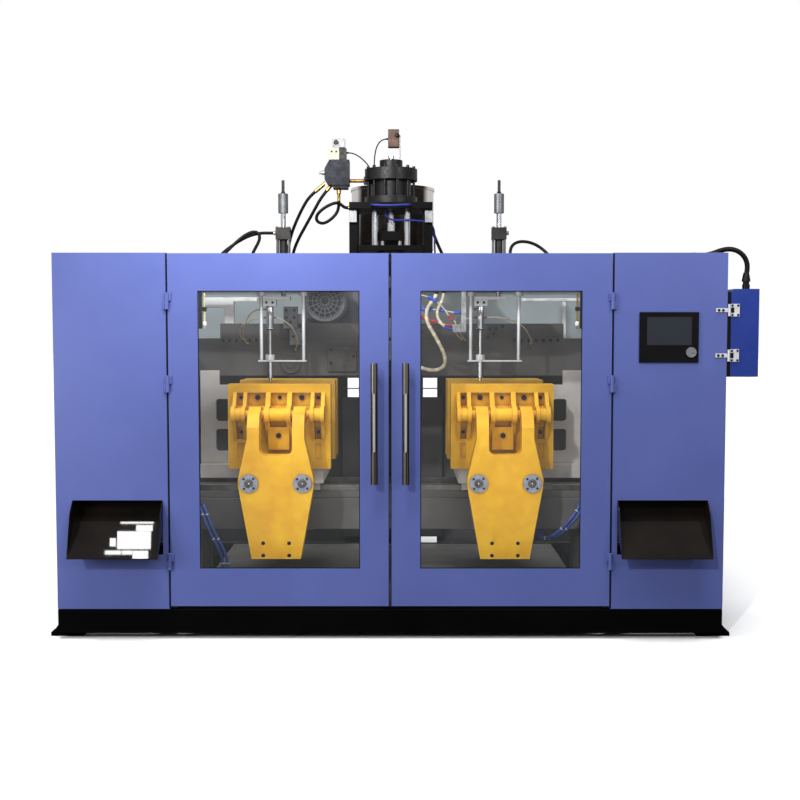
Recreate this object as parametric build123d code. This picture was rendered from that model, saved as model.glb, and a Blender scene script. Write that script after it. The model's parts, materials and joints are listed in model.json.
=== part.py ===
from build123d import *
import os
from math import radians, tan

os.makedirs("parts", exist_ok=True)

# X runs to the right, Y to the back and Z up, in millimetres.
# The origin is on the floor, at the middle of the four anchor holes.

# Enclosure
body_width = 3430
body_depth = 1900
panel_bottom = 157
panel_top = 1986
rear_cover_top = 1480
sheet = 3
fold = 30
half_width = body_width / 2
front_y = -body_depth / 2
rear_y = body_depth / 2

# Base and feet
base_bottom = 30
base_top = 155
beam_width = 100
cross_beam_x = 1170
floor_plate = 5
foot_plate = 20
foot_reach = 55
foot_length = 170
foot_depth = 130
foot_inset = 60
anchor_radius = 9
jack_radius = 12

# Inner frame
post = 80
door_post = 60
top_beam_bottom = 1870
top_beam_top = 1950
head_beam_bottom = 1830
head_beam_top = 1910
head_beam_width = 60
head_beam_reach = 180
dark_beam_y = front_y + 1250
dark_beam_bottom = 1310
dark_beam_top = 1540
rear_plate_top = 1631
rear_plate_half = 1054

# Doors
door_reach = 1132
door_gap = 4
door_depth = 28
door_bottom = 172
window_in = 155
window_out = 978
window_bottom = 368
window_top = 1793
pane = 6
pane_margin = 15
stiffener = 30
handle_x = 80
handle_radius = 18
handle_bottom = 811
handle_top = 1427
handle_proud = 60
handle_post = 9
knuckle_radius = 10
knuckle_height = 85
hinge_pin = 5
hinge_leaf = 20
hinge_heights = (406, 1320, 1742)

# Chutes
chute_in = 1168
chute_out = 1631
chute_bottom = 440
chute_top = 721
chute_proud = 130
chute_depth = 150

# Operator panel
control_in = 1268
control_out = 1569
control_bottom = 1430
control_top = 1685
control_proud = 8
control_depth = 60
screen_in = 1306
screen_out = 1533
screen_bottom = 1518
screen_top = 1661
screen_thick = 2
dial_x = 1531
dial_z = 1481
dial_radius = 26
dial_thick = 7
dial_shaft = 5

# Side control box
gasket_in = half_width + 0.3
box_in = 1734
box_out = 1876
box_bottom = 1356
box_top = 1803
box_depth = 260
box_wall = 2
box_rim = 25
box_corner = 16
box_hinge_x = 1723
box_hinge_heights = (1465, 1695)
box_hinge_knuckle = 7
box_hinge_pin = 3
box_hinge_plate = 5
box_hinge_half = 32
box_hinge_width = 45
strap_length = 60
strap_half = 10
button_y = front_y + 70
stop_z = 1457
start_z = 1503
button_radius = 11
gland_x = 1818
gland_y = front_y + 40
gland_radius = 19
gland_height = 38
conduit_y = front_y + 60

# Clamp stations
station_x = 618
carriage_travel = 618
clamp_travel = 120
blow_y = front_y + 800
mould_gap = 400
platen_half = 284
platen_bottom = 823
platen_top = 1294
platen_thick = 91
pocket_depth = 40
yoke_front = front_y + 300
yoke_thick = 100
yoke_bottom = 358
yoke_foot_half = 133
yoke_wide_half = 203
yoke_prong_half = 154
prong_gap_half = 89
yoke_slot_bottom = 919
pivot_y = front_y + 430
pivot_z = 1130
pivot_radius = 25
pivot_hub = 45
pivot_barrel = 35
tie_x = 144
tie_z = 769
tie_radius = 25
tie_cap_radius = 50
tie_cap_thick = 15
rear_yoke_front = front_y + 1230
rear_yoke_thick = 89
lower_bar_half = 100
lower_bar_bottom = 364
lower_bar_top = 454
ram_z = 1058
ram_radius = 28
ram_bore = 50
ram_barrel = 75
ram_length = 320
rear_rib = 40
mould_bolt_x = 400
mould_bolt_z = 300
mould_bolt_radius = 8.5
mould_bolt_depth = 40

# Carriages, bed and rails
carriage_half = 240
carriage_front = front_y + 560
carriage_back = front_y + 1200
carriage_bottom = 735
carriage_top = 815
side_plate_in = 296
side_plate_out = 490
side_plate_y = front_y + 830
side_plate_thick = 30
side_plate_top = 1274
side_tab_in = 380
side_tab_top = 1357
rail_half_length = 1100
rail_half = 17.5
rail_height = 33
rail_offset = 160
runner_half = 45
ledge_half = 28
ledge_height = 40
bed_half_length = 1420
bed_half_depth = 200
bed_bottom = 470
bed_top = 645
pedestal_half = 100
shift_z = 680
shift_radius = 30
shift_bore = 24
shift_rod = 12
shift_inner = 700
shift_outer = 1400

# Stripper frames, blow pins and their cylinders
pin_offset = {-1: -80, 1: -103}
pin_travel = 80
stripper_rod_places = {-1: (-130, 113), 1: (-160, 117)}
stripper_rod = 10
stripper_bar_bottom = 1411
stripper_bar = 8
stripper_bar_lap = 18
stripper_collar = 25
hang_plate_half = 190
hang_plate = 20
guide_radius = 28
guide_height = 32
blow_rod = 14
column_half = 41
column_cap_bottom = 2109
column_cap_top = 2177
column_tube = 23
column_bore = 19
nut_radius = 28.5
nut_bottom = 2260
nut_top = 2370

# Die head group
head_radius = 95
head_bottom = 1400
die_radius = 60
die_bottom = 1330
neck_radius = 75
cross_plate_bottom = 2038
cross_plate = 30
support_half = 233
support_bottom = 2269
support_top = 2306
leg_width = 45
leg_depth = 50
pillar_x = 92
pillar_y = 70
pillar_radius = 17.5
cylinder_flange = 150
cylinder_radius = 114.5
cylinder_bore = 80
cylinder_top = 2507
flange_height = 42
top_flange_height = 67
boss_radius = 65.5
boss_top = 2558
parison_rod = 15
parison_travel = 10
push_x = 50
push_radius = 10
bracket_half = 93
bracket_bottom = 2104
bracket_top = 2156

# Servo valve group, left of the parison cylinder
manifold_left = -378
manifold_right = -237
manifold_half_depth = 50
manifold_bottom = 2396
manifold_top = 2558
pipe_z = 2443
pipe_radius = 10

# Extruder
barrel_z = 1750
barrel_radius = 60
barrel_bore = 25
screw_clearance = 0.1
band_thick = 12
feed_y = front_y + 2200
hopper_radius = 282
hopper_top = 2558
hopper_shoulder = 2140
throat_top = 1870
throat_radius = 60
gearbox_y = front_y + 2330
gearbox_depth = 290
gearbox_left = -620
gearbox_right = 190
gearbox_bottom = 1560
gearbox_top = 1930
motor_x = -455
motor_z = 1786
motor_radius = 150
motor_length = 330

# Clearances
fit = 0.06
seat = 0.3
slack = 0.5

# Values that follow from those above
hinge_y = front_y - knuckle_radius - 0.5
platen_mould_y = blow_y - mould_gap / 2
platen_front_y = platen_mould_y - platen_thick
rear_platen_y = blow_y + mould_gap / 2
rear_platen_back = rear_platen_y + platen_thick - 11
rear_yoke_back = rear_yoke_front + rear_yoke_thick
yoke_back = yoke_front + yoke_thick
hang_plate_top = head_beam_bottom
hang_plate_bottom = hang_plate_top - hang_plate
stripper_bar_top = stripper_bar_bottom + stripper_bar
guide_top = stripper_bar_top + guide_height
ledge_top = bed_top + ledge_height
rail_top = ledge_top + rail_height
parison_cylinder_bottom = support_top
stand_end = gearbox_y + gearbox_depth


def block(x0, x1, y0, y1, z0, z1):
    """A box between the given limits in X, Y and Z."""
    return Pos((x0 + x1) / 2, (y0 + y1) / 2, (z0 + z1) / 2) * Box(x1 - x0, y1 - y0, z1 - z0)


def rod_x(radius, x0, x1, y, z):
    return Pos((x0 + x1) / 2, y, z) * Rot(0, 90, 0) * Cylinder(radius, x1 - x0)


def rod_y(radius, y0, y1, x, z):
    return Pos(x, (y0 + y1) / 2, z) * Rot(90, 0, 0) * Cylinder(radius, y1 - y0)


def rod_z(radius, z0, z1, x, y):
    return Pos(x, y, (z0 + z1) / 2) * Cylinder(radius, z1 - z0)


def rod_between(radius, start, end):
    """A round bar from one point to another."""
    line = Vector(*end) - Vector(*start)
    return Plane(origin=start, z_dir=line) * Pos(0, 0, line.length / 2) * Cylinder(radius, line.length)


def across(points, y0, y1):
    """A plate with an outline given in X and Z, between two depths."""
    face = make_face(Polyline(*points, close=True))
    return Pos(0, y1, 0) * (Plane.XZ * extrude(face, y1 - y0))


def along(points, x0, x1):
    """A plate with an outline given in Y and Z, between two places in X."""
    face = make_face(Polyline(*points, close=True))
    return Pos(x0, 0, 0) * (Plane.YZ * extrude(face, x1 - x0))


def fused(pieces):
    """One solid from pieces that meet."""
    whole = pieces[0]
    for piece in pieces[1:]:
        whole += piece
    return whole


def mirrored(piece):
    return mirror(piece, about=Plane.YZ)


def on_side(piece, side):
    """The piece as drawn for the right side, or its mirror image for the left."""
    return piece if side > 0 else mirrored(piece)


def both(piece):
    return [piece, mirrored(piece)]


def at_station(piece, side):
    return on_side(Pos(station_x, 0, 0) * piece, side)


def save(name, pieces):
    """Writes a sub-part's solids as one STEP file."""
    solids = [solid for piece in pieces for solid in piece.solids()]
    export_step(solids[0] if len(solids) == 1 else Compound(solids), f"parts/{name}.step")


def hose(radius, points):
    """A hose through the given points: straight runs with an arc at each turn, as large as fits."""
    places = [Vector(*point) for point in points]
    radii = []
    for before, here, after in zip(places, places[1:], places[2:]):
        turn = (here - before).get_angle(after - here)
        shorter = min((here - before).length, (after - here).length)
        radii.append(0.45 * shorter / tan(radians(turn) / 2))
    path = FilletPolyline(*points, radius=radii)
    start = Plane(origin=path @ 0, z_dir=path % 0)
    tube = sweep(start * Circle(radius), path=path)
    expected = start.z_dir.length * 3.141593 * radius**2 * path.length
    print(f"hose radius {radius}: length {path.length:.0f}, tightest bend {min(radii):.0f},"
          f" volume share {tube.volume / expected:.4f}")
    return tube


# Base frame


def foot_places():
    """The middle of each anchor hole."""
    x = half_width + foot_reach / 2
    y = rear_y - foot_inset - foot_depth / 2
    return [(i * x, j * y) for i in (-1, 1) for j in (-1, 1)]


def base_beams():
    inner = half_width - beam_width
    z = (base_bottom, base_top)
    beams = [
        block(-half_width, half_width, front_y, front_y + beam_width, *z),
        block(-half_width, half_width, rear_y - beam_width, rear_y, *z),
    ]
    run = (front_y + beam_width, rear_y - beam_width)
    beams += both(block(inner, half_width, *run, *z))
    beams += both(block(cross_beam_x - beam_width / 2, cross_beam_x + beam_width / 2, *run, *z))
    return beams


def floor_sheet():
    lap = 20
    half = cross_beam_x - pedestal_half - 10
    y = rear_y - beam_width + lap
    return block(-half, half, -y, y, base_top, base_top + floor_plate)


def extruder_stand():
    """Two long beams behind the enclosure, a tie between them and four posts under the gearbox."""
    pieces = []
    lefts = (gearbox_left + 20, gearbox_right - 20 - post)
    for x in lefts:
        pieces.append(block(x, x + post, rear_y, stand_end, base_bottom, base_top))
        for y in (gearbox_y + 10, stand_end - 10 - post):
            pieces.append(block(x, x + post, y, y + post, base_top, gearbox_bottom))
    pieces.append(block(lefts[0] + post, lefts[1], stand_end - post, stand_end, base_bottom, base_top))
    return pieces


def anchor_foot(x_side, y):
    """A foot plate under the base, with two gussets outside the body and the anchor hole between them."""
    outer = half_width + foot_reach
    gusset = 10
    plate = block(outer - foot_length, outer, y - foot_depth / 2, y + foot_depth / 2, 0, foot_plate)
    plate -= rod_z(anchor_radius, -1, foot_plate + 1, half_width + foot_reach / 2, y)
    pad = block(half_width - 90, half_width - 10, y - 40, y + 40, foot_plate, base_bottom)
    web = [(half_width, foot_plate), (outer - 8, foot_plate), (half_width, base_bottom + 50)]
    pieces = [plate, pad]
    for near in (y - foot_depth / 2, y + foot_depth / 2 - gusset):
        pieces.append(across(web, near, near + gusset))
    lug = block(half_width, half_width + 18, y + foot_depth / 2 - 45, y + foot_depth / 2 - gusset,
                base_bottom + 28, base_bottom + 46)
    return on_side(fused(pieces + [lug]), x_side)


def stand_pads():
    pads = []
    for x in (gearbox_left + 20 + post / 2, gearbox_right - 20 - post / 2):
        y = stand_end - post / 2
        pads.append(block(x - 60, x + 60, y - 60, y + 60, 0, foot_plate))
        pads.append(rod_z(jack_radius, foot_plate, base_bottom, x, y))
    return pads


# Inner frame


def inner_frame():
    side_in = half_width - sheet - post
    side_out = half_width - sheet
    front = front_y + fold
    back = rear_y - fold
    pieces = []
    for y in (front, back - post):
        pieces += both(block(side_in, side_out, y, y + post, base_top, top_beam_top))
        pieces.append(block(-side_in, side_in, y, y + post, top_beam_bottom, top_beam_top))
    pieces += both(block(side_in, side_out, front + post, back - post, top_beam_bottom, top_beam_top))
    post_in = door_reach + door_gap / 2 - door_post / 2
    pieces += both(block(post_in, post_in + door_post, front, front + door_post, base_top, top_beam_bottom))
    mid_y = dark_beam_y
    pieces += both(block(side_in, side_out, mid_y, mid_y + post, base_top, top_beam_bottom))
    pieces.append(block(-side_in, side_in, mid_y, mid_y + post, dark_beam_bottom, dark_beam_top))
    return pieces


def head_beams():
    """Two beams across the machine that carry the die head and the blow cylinders."""
    side_in = half_width - sheet - post
    pieces = []
    for y in (blow_y - head_beam_reach, blow_y + head_beam_reach - head_beam_width):
        pieces.append(block(-side_in, side_in, y, y + head_beam_width, head_beam_bottom, head_beam_top))
    return pieces


def rear_plate():
    """A plate on the rear beam with a row of bolts below it, and the white duct that stands on it."""
    y = dark_beam_y
    pieces = [block(-rear_plate_half, rear_plate_half, y, y + 10, dark_beam_top, rear_plate_top)]
    for i in range(6):
        pieces.append(rod_y(9, y - 6, y, -1036 + 41 * i, dark_beam_top - 12))
    duct_top = head_beam_bottom - 40
    pieces.append(block(-1027, -970, y, y + 40, rear_plate_top, duct_top))
    pieces.append(block(-1144, -1027, y, y + 40, duct_top - 62, duct_top))
    pieces.append(block(-970, -825, y, y + 40, duct_top - 24, duct_top))
    return pieces


def cable_hanger():
    """A strip under the front head beam with the terminal block of the heater cables."""
    y = blow_y - head_beam_reach + 30
    strip = block(396, 424, y, y + 12, terminal_z - 22, head_beam_bottom)
    return strip + block(terminal_x, 396, y + 8, y + 38, terminal_z - 22, terminal_z + 23)


def hose_unions():
    """Short unions that the hoses stand in, on the beams and hang plates."""
    pieces = []
    for radius, x, y, bottom, top in union_places:
        pieces.append(rod_z(radius, bottom, top, x, y))
    for x, z in air_union_places:
        pieces.append(rod_y(7, dark_beam_y - 20, dark_beam_y, x, z))
    return pieces


terminal_x = 350
terminal_z = 1602
air_union_places = ((-882, 1508), (-902, 1532), (-589, 1470), (432, 1532), (452, 1528), (852, 1506))
union_height = 25
beam_union = (head_beam_top, head_beam_top + union_height)
plate_union = (hang_plate_top, hang_plate_top + union_height)
union_places = [
    (12, -604, -50, *plate_union),
    (12, -572, -72, *plate_union),
    (12, -1036, 0, *beam_union),
    (12, -792, -297, *beam_union),
    (12, -976, -298, *beam_union),
    (12, 690, -240, *plate_union),
    (12, 922, -294, *beam_union),
    (12, 302, -296, *beam_union),
    (8, 247, -287, *beam_union),
]


def bed():
    y0 = blow_y - bed_half_depth
    y1 = blow_y + bed_half_depth
    pieces = [block(-bed_half_length, bed_half_length, y0, y1, bed_bottom, bed_top)]
    for y in (blow_y - rail_offset, blow_y + rail_offset):
        pieces.append(block(-bed_half_length, bed_half_length, y - ledge_half, y + ledge_half, bed_top, ledge_top))
    pieces += both(block(cross_beam_x - pedestal_half, cross_beam_x + pedestal_half, y0, y1, base_top, bed_bottom))
    return pieces


def rails():
    pieces = []
    for y in (blow_y - rail_offset, blow_y + rail_offset):
        pieces.append(block(-rail_half_length, rail_half_length, y - rail_half, y + rail_half, ledge_top, rail_top))
    return pieces


def shift_cylinder():
    """The cylinder that shifts a carriage, with its foot on the bed."""
    barrel = rod_x(shift_radius, shift_inner, shift_outer, blow_y, shift_z)
    barrel -= rod_x(shift_bore, shift_inner + 20, shift_outer - 20, blow_y, shift_z)
    barrel -= rod_x(shift_rod + fit, shift_inner - 1, shift_inner + 21, blow_y, shift_z)
    foot = block(shift_outer - 120, shift_outer - 40, blow_y - 40, blow_y + 40, bed_top, shift_z)
    near_foot = block(shift_inner, shift_inner + 60, blow_y - 40, blow_y + 40, bed_top, shift_z)
    whole = rod_x(shift_radius, shift_inner, shift_outer, blow_y, shift_z)
    return barrel + (foot - whole) + (near_foot - whole)


# Sheet-metal panels


def folded_panel(x0, x1, z0, z1, depth):
    """A flat front sheet with its four edges folded back."""
    whole = block(x0, x1, front_y, front_y + depth, z0, z1)
    return whole - block(x0 + sheet, x1 - sheet, front_y + sheet, front_y + depth + 1, z0 + sheet, z1 - sheet)


def front_panel(side):
    panel = folded_panel(door_reach + door_gap / 2, half_width, panel_bottom, panel_top, fold)
    panel -= block(chute_in, chute_out, front_y - 1, front_y + sheet + 1, chute_bottom, chute_top)
    if side > 0:
        panel -= block(control_in + 10 - seat, control_out - 10 + seat, front_y - 1, front_y + sheet + 1,
                       control_bottom + 10 - seat, control_top - 10 + seat)
    return on_side(panel, side)


def outer_covers():
    """Side sheets, and two low rear covers with the extruder's way between them."""
    sides = block(half_width - sheet, half_width, front_y + fold, rear_y - fold, panel_bottom, panel_top)
    rear_in = 300
    rear = block(rear_in, half_width, rear_y - fold, rear_y, panel_bottom, rear_cover_top)
    rear -= block(rear_in + sheet, half_width - sheet, rear_y - fold - 1, rear_y - sheet,
                  panel_bottom + sheet, rear_cover_top - sheet)
    covers = both(sides) + both(rear)
    notch = block(half_width - sheet - 1, half_width + 1, conduit_y - 22, conduit_y + 22,
                  panel_top - 24, panel_top + 1)
    covers[0] -= notch
    return covers


def door(side):
    """A folded door with a window opening, a stiffening ring behind it and its hinge halves."""
    x0 = door_gap / 2
    x1 = door_reach - door_gap / 2
    top = panel_top - sheet
    leaf = folded_panel(x0, x1, door_bottom, top, door_depth)
    gap = pane_margin + 5
    ring_out = (window_in - gap - stiffener, window_out + gap + stiffener)
    ring_z = (window_bottom - gap - stiffener, window_top + gap + stiffener)
    depth = (front_y + sheet, front_y + door_depth - 3)
    ring = block(*ring_out, *depth, *ring_z)
    ring -= block(window_in - gap, window_out + gap, depth[0] - 1, depth[1] + 1,
                  window_bottom - gap, window_top + gap)
    leaf += ring
    leaf -= block(window_in, window_out, front_y - 1, front_y + sheet + 1, window_bottom, window_top)
    pieces = [leaf]
    for z in hinge_heights:
        knuckle = rod_z(knuckle_radius, z + slack, z + knuckle_height / 2, door_reach, hinge_y)
        knuckle += block(door_reach - hinge_leaf, door_reach - 2, front_y - 8, front_y,
                         z + slack, z + knuckle_height / 2)
        knuckle -= rod_z(hinge_pin + fit, z - 1, z + knuckle_height / 2 - 4, door_reach, hinge_y)
        pieces.append(knuckle)
    return [on_side(piece, side) for piece in pieces]


def fixed_hinge(z):
    lower = z - knuckle_height / 2
    half = rod_z(knuckle_radius, lower, z, door_reach, hinge_y)
    half += block(door_reach + 2, door_reach + hinge_leaf, front_y - 8, front_y, lower, z)
    return half + rod_z(hinge_pin, z, z + knuckle_height / 2 - 6, door_reach, hinge_y)


def window():
    return block(window_in - pane_margin, window_out + pane_margin, front_y + sheet, front_y + sheet + pane,
                 window_bottom - pane_margin, window_top + pane_margin)


def handle():
    y = front_y - handle_proud
    grip = rod_z(handle_radius, handle_bottom, handle_top, handle_x, y)
    for z in (handle_bottom + 60, handle_top - 60):
        grip += rod_y(handle_post, y, front_y, handle_x, z)
    return grip


def chute():
    """A folded tray: a steep slide between two cheeks, with its lip outside the panel."""
    x0 = chute_in + seat
    x1 = chute_out - seat
    lip = (front_y - chute_proud, chute_bottom + 5)
    end = (front_y + chute_depth, chute_top + 19)
    floor = [lip, end, (end[0], end[1] - 4.5), (lip[0], lip[1] - 4.5)]
    cheek = [
        lip,
        (front_y - chute_proud / 2 + 5, chute_top - 60),
        (front_y - 2, chute_top - seat),
        (front_y + sheet + 2, chute_top - seat),
        end,
    ]
    slide = along(floor, x0, x1)
    return slide + along(cheek, x0, x0 + sheet) + along(cheek, x1 - sheet, x1)


# Operator panel and side control box


def control_panel():
    z = (control_bottom, control_top)
    bezel = block(control_in, control_out, front_y - control_proud, front_y, *z)
    rear = block(control_in + 10, control_out - 10, front_y, front_y + control_depth, z[0] + 10, z[1] - 10)
    recess = block(screen_in, screen_out, front_y - control_proud - 1, front_y - control_proud + screen_thick,
                   screen_bottom, screen_top)
    hole = rod_y(dial_shaft + fit, front_y - control_proud - 1, front_y + 12, dial_x, dial_z)
    return bezel + rear - recess - hole


def display_screen():
    y = front_y - control_proud
    return block(screen_in, screen_out, y, y + screen_thick, screen_bottom, screen_top)


def jog_dial():
    face = front_y - control_proud - seat
    dial = rod_y(dial_radius, face - dial_thick, face, dial_x, dial_z)
    dial += rod_y(dial_shaft, face, front_y + 8, dial_x, dial_z)
    dimple = Pos(dial_x + 9, face - dial_thick - 6, dial_z - 9) * Sphere(9)
    return dial - dimple


def cut_corner(box):
    """The box with the top corner next to the machine cut off."""
    top = box.edges().filter_by(Axis.Y).group_by(Axis.Z)[-1]
    return chamfer(top.sort_by(Axis.X)[0], box_corner)


def operator_box():
    """The box's shell with its rim, the rubber gasket on the rim and the conduit gland on top."""
    y = (front_y, front_y + box_depth)
    shell = cut_corner(block(box_in, box_out, *y, box_bottom, box_top))
    shell -= cut_corner(block(box_in + box_wall, box_out - box_wall, y[0] + box_wall, y[1] - box_wall,
                              box_bottom + box_wall, box_top - box_wall))
    mouth = (y[0] + box_rim, y[1] - box_rim, box_bottom + box_rim, box_top - box_rim)
    shell -= block(box_in - 1, box_in + box_wall + 1, *mouth)
    for z in (stop_z, start_z):
        shell -= rod_x(button_radius + seat, box_out - box_wall - 1, box_out + 1, button_y, z)
    gasket = block(gasket_in, box_in, *y, box_bottom, box_top - box_corner)
    gasket -= block(gasket_in - 1, box_in + 1, *mouth)
    gland = rod_z(gland_radius, box_top, box_top + gland_height - 14, gland_x, gland_y)
    gland += rod_z(gland_radius - 3, box_top + gland_height - 14, box_top + gland_height, gland_x, gland_y)
    return [shell, gasket, gland]


def button(z):
    """A round button that travels into the box, kept in by its flange behind the wall."""
    inside = box_out - box_wall
    cap = rod_x(button_radius, inside, box_out + 8, button_y, z)
    return cap + rod_x(button_radius + 3, inside - 3, inside, button_y, z)


def box_strap(z):
    """A strap on the front panel with the middle knuckle of a box hinge and its pin."""
    y = front_y - box_hinge_plate
    pin_y = front_y - box_hinge_knuckle
    reach = box_hinge_x - box_hinge_knuckle
    strap = block(reach - strap_length, reach + 4, y, front_y, z - strap_half, z + strap_half)
    screws = [rod_y(4.5, y - 2.5, y, x, z) for x in (reach - strap_length + 14, reach - strap_length + 36)]
    knuckle = rod_z(box_hinge_knuckle, z - strap_half, z + strap_half, box_hinge_x, pin_y)
    pin = rod_z(box_hinge_pin, z - box_hinge_half + 4, z + box_hinge_half - 4, box_hinge_x, pin_y)
    return fused([strap, knuckle, pin] + screws)


def box_hinge(z):
    """The box's hinge plate: two outer knuckles on a screwed plate with a slot in its middle."""
    y = front_y - box_hinge_plate
    pin_y = front_y - box_hinge_knuckle
    left = box_hinge_x + box_hinge_knuckle + slack
    plate = block(left, left + box_hinge_width, y, front_y, z - box_hinge_half, z + box_hinge_half)
    plate -= block(left + 3, left + 17, y - 1, y + 3, z - 12, z + 12)
    hinge = plate
    for low in (-box_hinge_half + 2, strap_half + slack):
        high = low + box_hinge_half - strap_half - 2.5
        tube = rod_z(box_hinge_knuckle, z + low, z + high, box_hinge_x, pin_y)
        tube += block(box_hinge_x + 3, left + 1, y, front_y, z + low, z + high)
        tube -= rod_z(box_hinge_pin + fit, z + low - 1, z + high + 1, box_hinge_x, pin_y)
        hinge += tube
    for dx in (left + 8, left + box_hinge_width - 8):
        for dz in (-24, 24):
            hinge += rod_y(4.5, y - 2.5, y, dx, z + dz)
    return hinge


# Clamp stations, drawn about their own middle


def prong_side():
    """The front yoke seen from the side: upright below, leaning back into the pivot hubs."""
    return [
        (yoke_front, yoke_bottom),
        (yoke_back, yoke_bottom),
        (yoke_back, pivot_z - 90),
        (pivot_y + pivot_hub - 2, pivot_z - 10),
        (pivot_y + 10, pivot_z + 30),
        (pivot_y - 20, pivot_z + 35),
        (yoke_front + 40, pivot_z + 10),
        (yoke_front, pivot_z - 60),
    ]


def front_yoke():
    outline = [
        (yoke_foot_half, yoke_bottom),
        (yoke_wide_half, tie_z - 20),
        (yoke_wide_half, tie_z + 25),
        (yoke_prong_half, tie_z + 240),
        (yoke_prong_half, pivot_z + pivot_hub),
    ]
    points = outline + [(-x, z) for x, z in reversed(outline)]
    yoke = across(points, yoke_front, pivot_y + pivot_hub)
    yoke &= along(prong_side(), -yoke_wide_half, yoke_wide_half)
    for x in (-yoke_prong_half, prong_gap_half):
        yoke += rod_x(pivot_hub, x, x + yoke_prong_half - prong_gap_half, pivot_y, pivot_z)
    slot = block(-prong_gap_half, prong_gap_half, yoke_front - 1, pivot_y + pivot_hub + 1,
                 yoke_slot_bottom, pivot_z + pivot_hub + 20)
    slot = fillet(slot.edges().filter_by(Axis.Y).group_by(Axis.Z)[0], 38)
    yoke -= slot
    yoke -= rod_x(pivot_radius + fit, -yoke_wide_half, yoke_wide_half, pivot_y, pivot_z)
    for x in (-tie_x, tie_x):
        yoke -= rod_y(tie_radius + fit, yoke_front - 1, yoke_back + 1, x, tie_z)
    for x, z in foot_screws():
        yoke -= rod_y(foot_screw_radius + 2, yoke_front - 1, yoke_front + 12, x, z)
    return yoke


foot_screw_radius = 9
bolt_radius = 14
small_bolt = 10


def foot_screws():
    low = yoke_bottom + 18
    return [(x, z) for x in (-70, 70) for z in (low, low + 67)]


def platen_plate(front, back):
    """A platen's plain plate with four threaded holes in its mould face at the back limit."""
    return block(-platen_half, platen_half, front, back, platen_bottom, platen_top)


def mould_holes(face_y, inward):
    y0, y1 = sorted((face_y - inward, face_y + inward * mould_bolt_depth))
    middle = (platen_bottom + platen_top) / 2
    holes = []
    for x in (-mould_bolt_x / 2, mould_bolt_x / 2):
        for z in (middle - mould_bolt_z / 2, middle + mould_bolt_z / 2):
            holes.append(rod_y(mould_bolt_radius, y0, y1, x, z))
    return fused(holes)


def pocket(x0, x1, z0, z1, depth):
    return block(x0, x1, platen_front_y - 1, platen_front_y + depth, z0, z1)


def ear(x0, x1):
    """A lug that carries the pivot shaft in front of the platen."""
    outline = [
        (platen_front_y + 5, platen_top - 44),
        (platen_front_y, platen_top - 44),
        (pivot_y + 20, pivot_z + 38),
        (pivot_y - 20, pivot_z + 38),
        (pivot_y - 20, pivot_z - 38),
        (pivot_y + 20, pivot_z - 40),
        (platen_front_y, pivot_z - 150),
        (platen_front_y + 5, pivot_z - 150),
    ]
    return along(outline, x0, x1) + rod_x(pivot_hub, x0, x1, pivot_y, pivot_z)


ear_places = ((46, 72), (176, 196), (234, 254))
pocket_top = platen_top - 47
pocket_low = platen_top - 121


def front_platen():
    platen = platen_plate(platen_front_y, platen_mould_y)
    for x0, x1 in ((-46, 46), (73, 175), (-175, -73), (198, 233), (-233, -198)):
        platen -= pocket(x0, x1, pocket_low, pocket_top, pocket_depth)
    for x0, x1 in ((198, 233), (-233, -198)):
        platen -= pocket(x0, x1, pocket_low - 183, pocket_low - 114, pocket_depth)
        platen -= pocket(x0, x1, platen_bottom + 57, pocket_low - 206, 12)
    for x0, x1 in ear_places:
        platen += ear(x0, x1)
        platen += ear(-x1, -x0)
    for x0, x1 in ((-46, 46), (196, 234), (-234, -196)):
        platen += rod_x(pivot_barrel, x0, x1, pivot_y, pivot_z)
        platen += along([
            (platen_front_y + 5, pivot_z + 34), (pivot_y, pivot_z + 34),
            (pivot_y, pivot_z - 10), (platen_front_y + 5, pivot_z - 10),
        ], x0, x1)
    lug = block(-58, 58, platen_front_y - 40, platen_front_y, platen_bottom + 111, pivot_z - 71)
    platen += lug
    platen -= rod_x(pivot_radius + fit, -platen_half, platen_half, pivot_y, pivot_z)
    return platen - mould_holes(platen_mould_y, -1)


def front_bolts():
    """Screw heads in the pockets of the front platen, on its lug and at the foot of the yoke."""
    floor = platen_front_y + pocket_depth
    upper = (pocket_low + pocket_top) / 2 + 8
    lower = pocket_low - 148
    heads = [rod_y(bolt_radius, floor - 16, floor, x, upper) for x in (-122, 122)]
    heads += [rod_y(small_bolt, floor - 12, floor, x, upper) for x in (-215, 0, 215)]
    heads += [rod_y(small_bolt, floor - 12, floor, x, lower) for x in (-215, 215)]
    lug_face = platen_front_y - 40
    heads.append(rod_y(bolt_radius, lug_face - 14, lug_face, 0, pivot_z - 117))
    heads += [rod_y(foot_screw_radius, yoke_front + 3, yoke_front + 12, x, z) for x, z in foot_screws()]
    return heads


def rear_platen():
    """The rear platen with its ribs and the piston rod that pulls it, in one casting and one bar."""
    platen = platen_plate(rear_platen_y, rear_platen_back)
    for x in (-platen_half, -74, 54, platen_half - 20):
        platen += block(x, x + 20, rear_platen_back, rear_platen_back + rear_rib, platen_bottom, platen_top)
    boss = rod_y(ram_barrel, rear_platen_back, rear_platen_back + rear_rib, 0, ram_z)
    platen = platen + boss - mould_holes(rear_platen_y, 1)
    start = rear_platen_back + rear_rib
    piston = rear_yoke_back + ram_length - 65
    rod = rod_y(ram_radius, start, piston, 0, ram_z)
    rod += rod_y(ram_bore - fit, piston, piston + 40, 0, ram_z)
    return [platen, rod]


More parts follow.
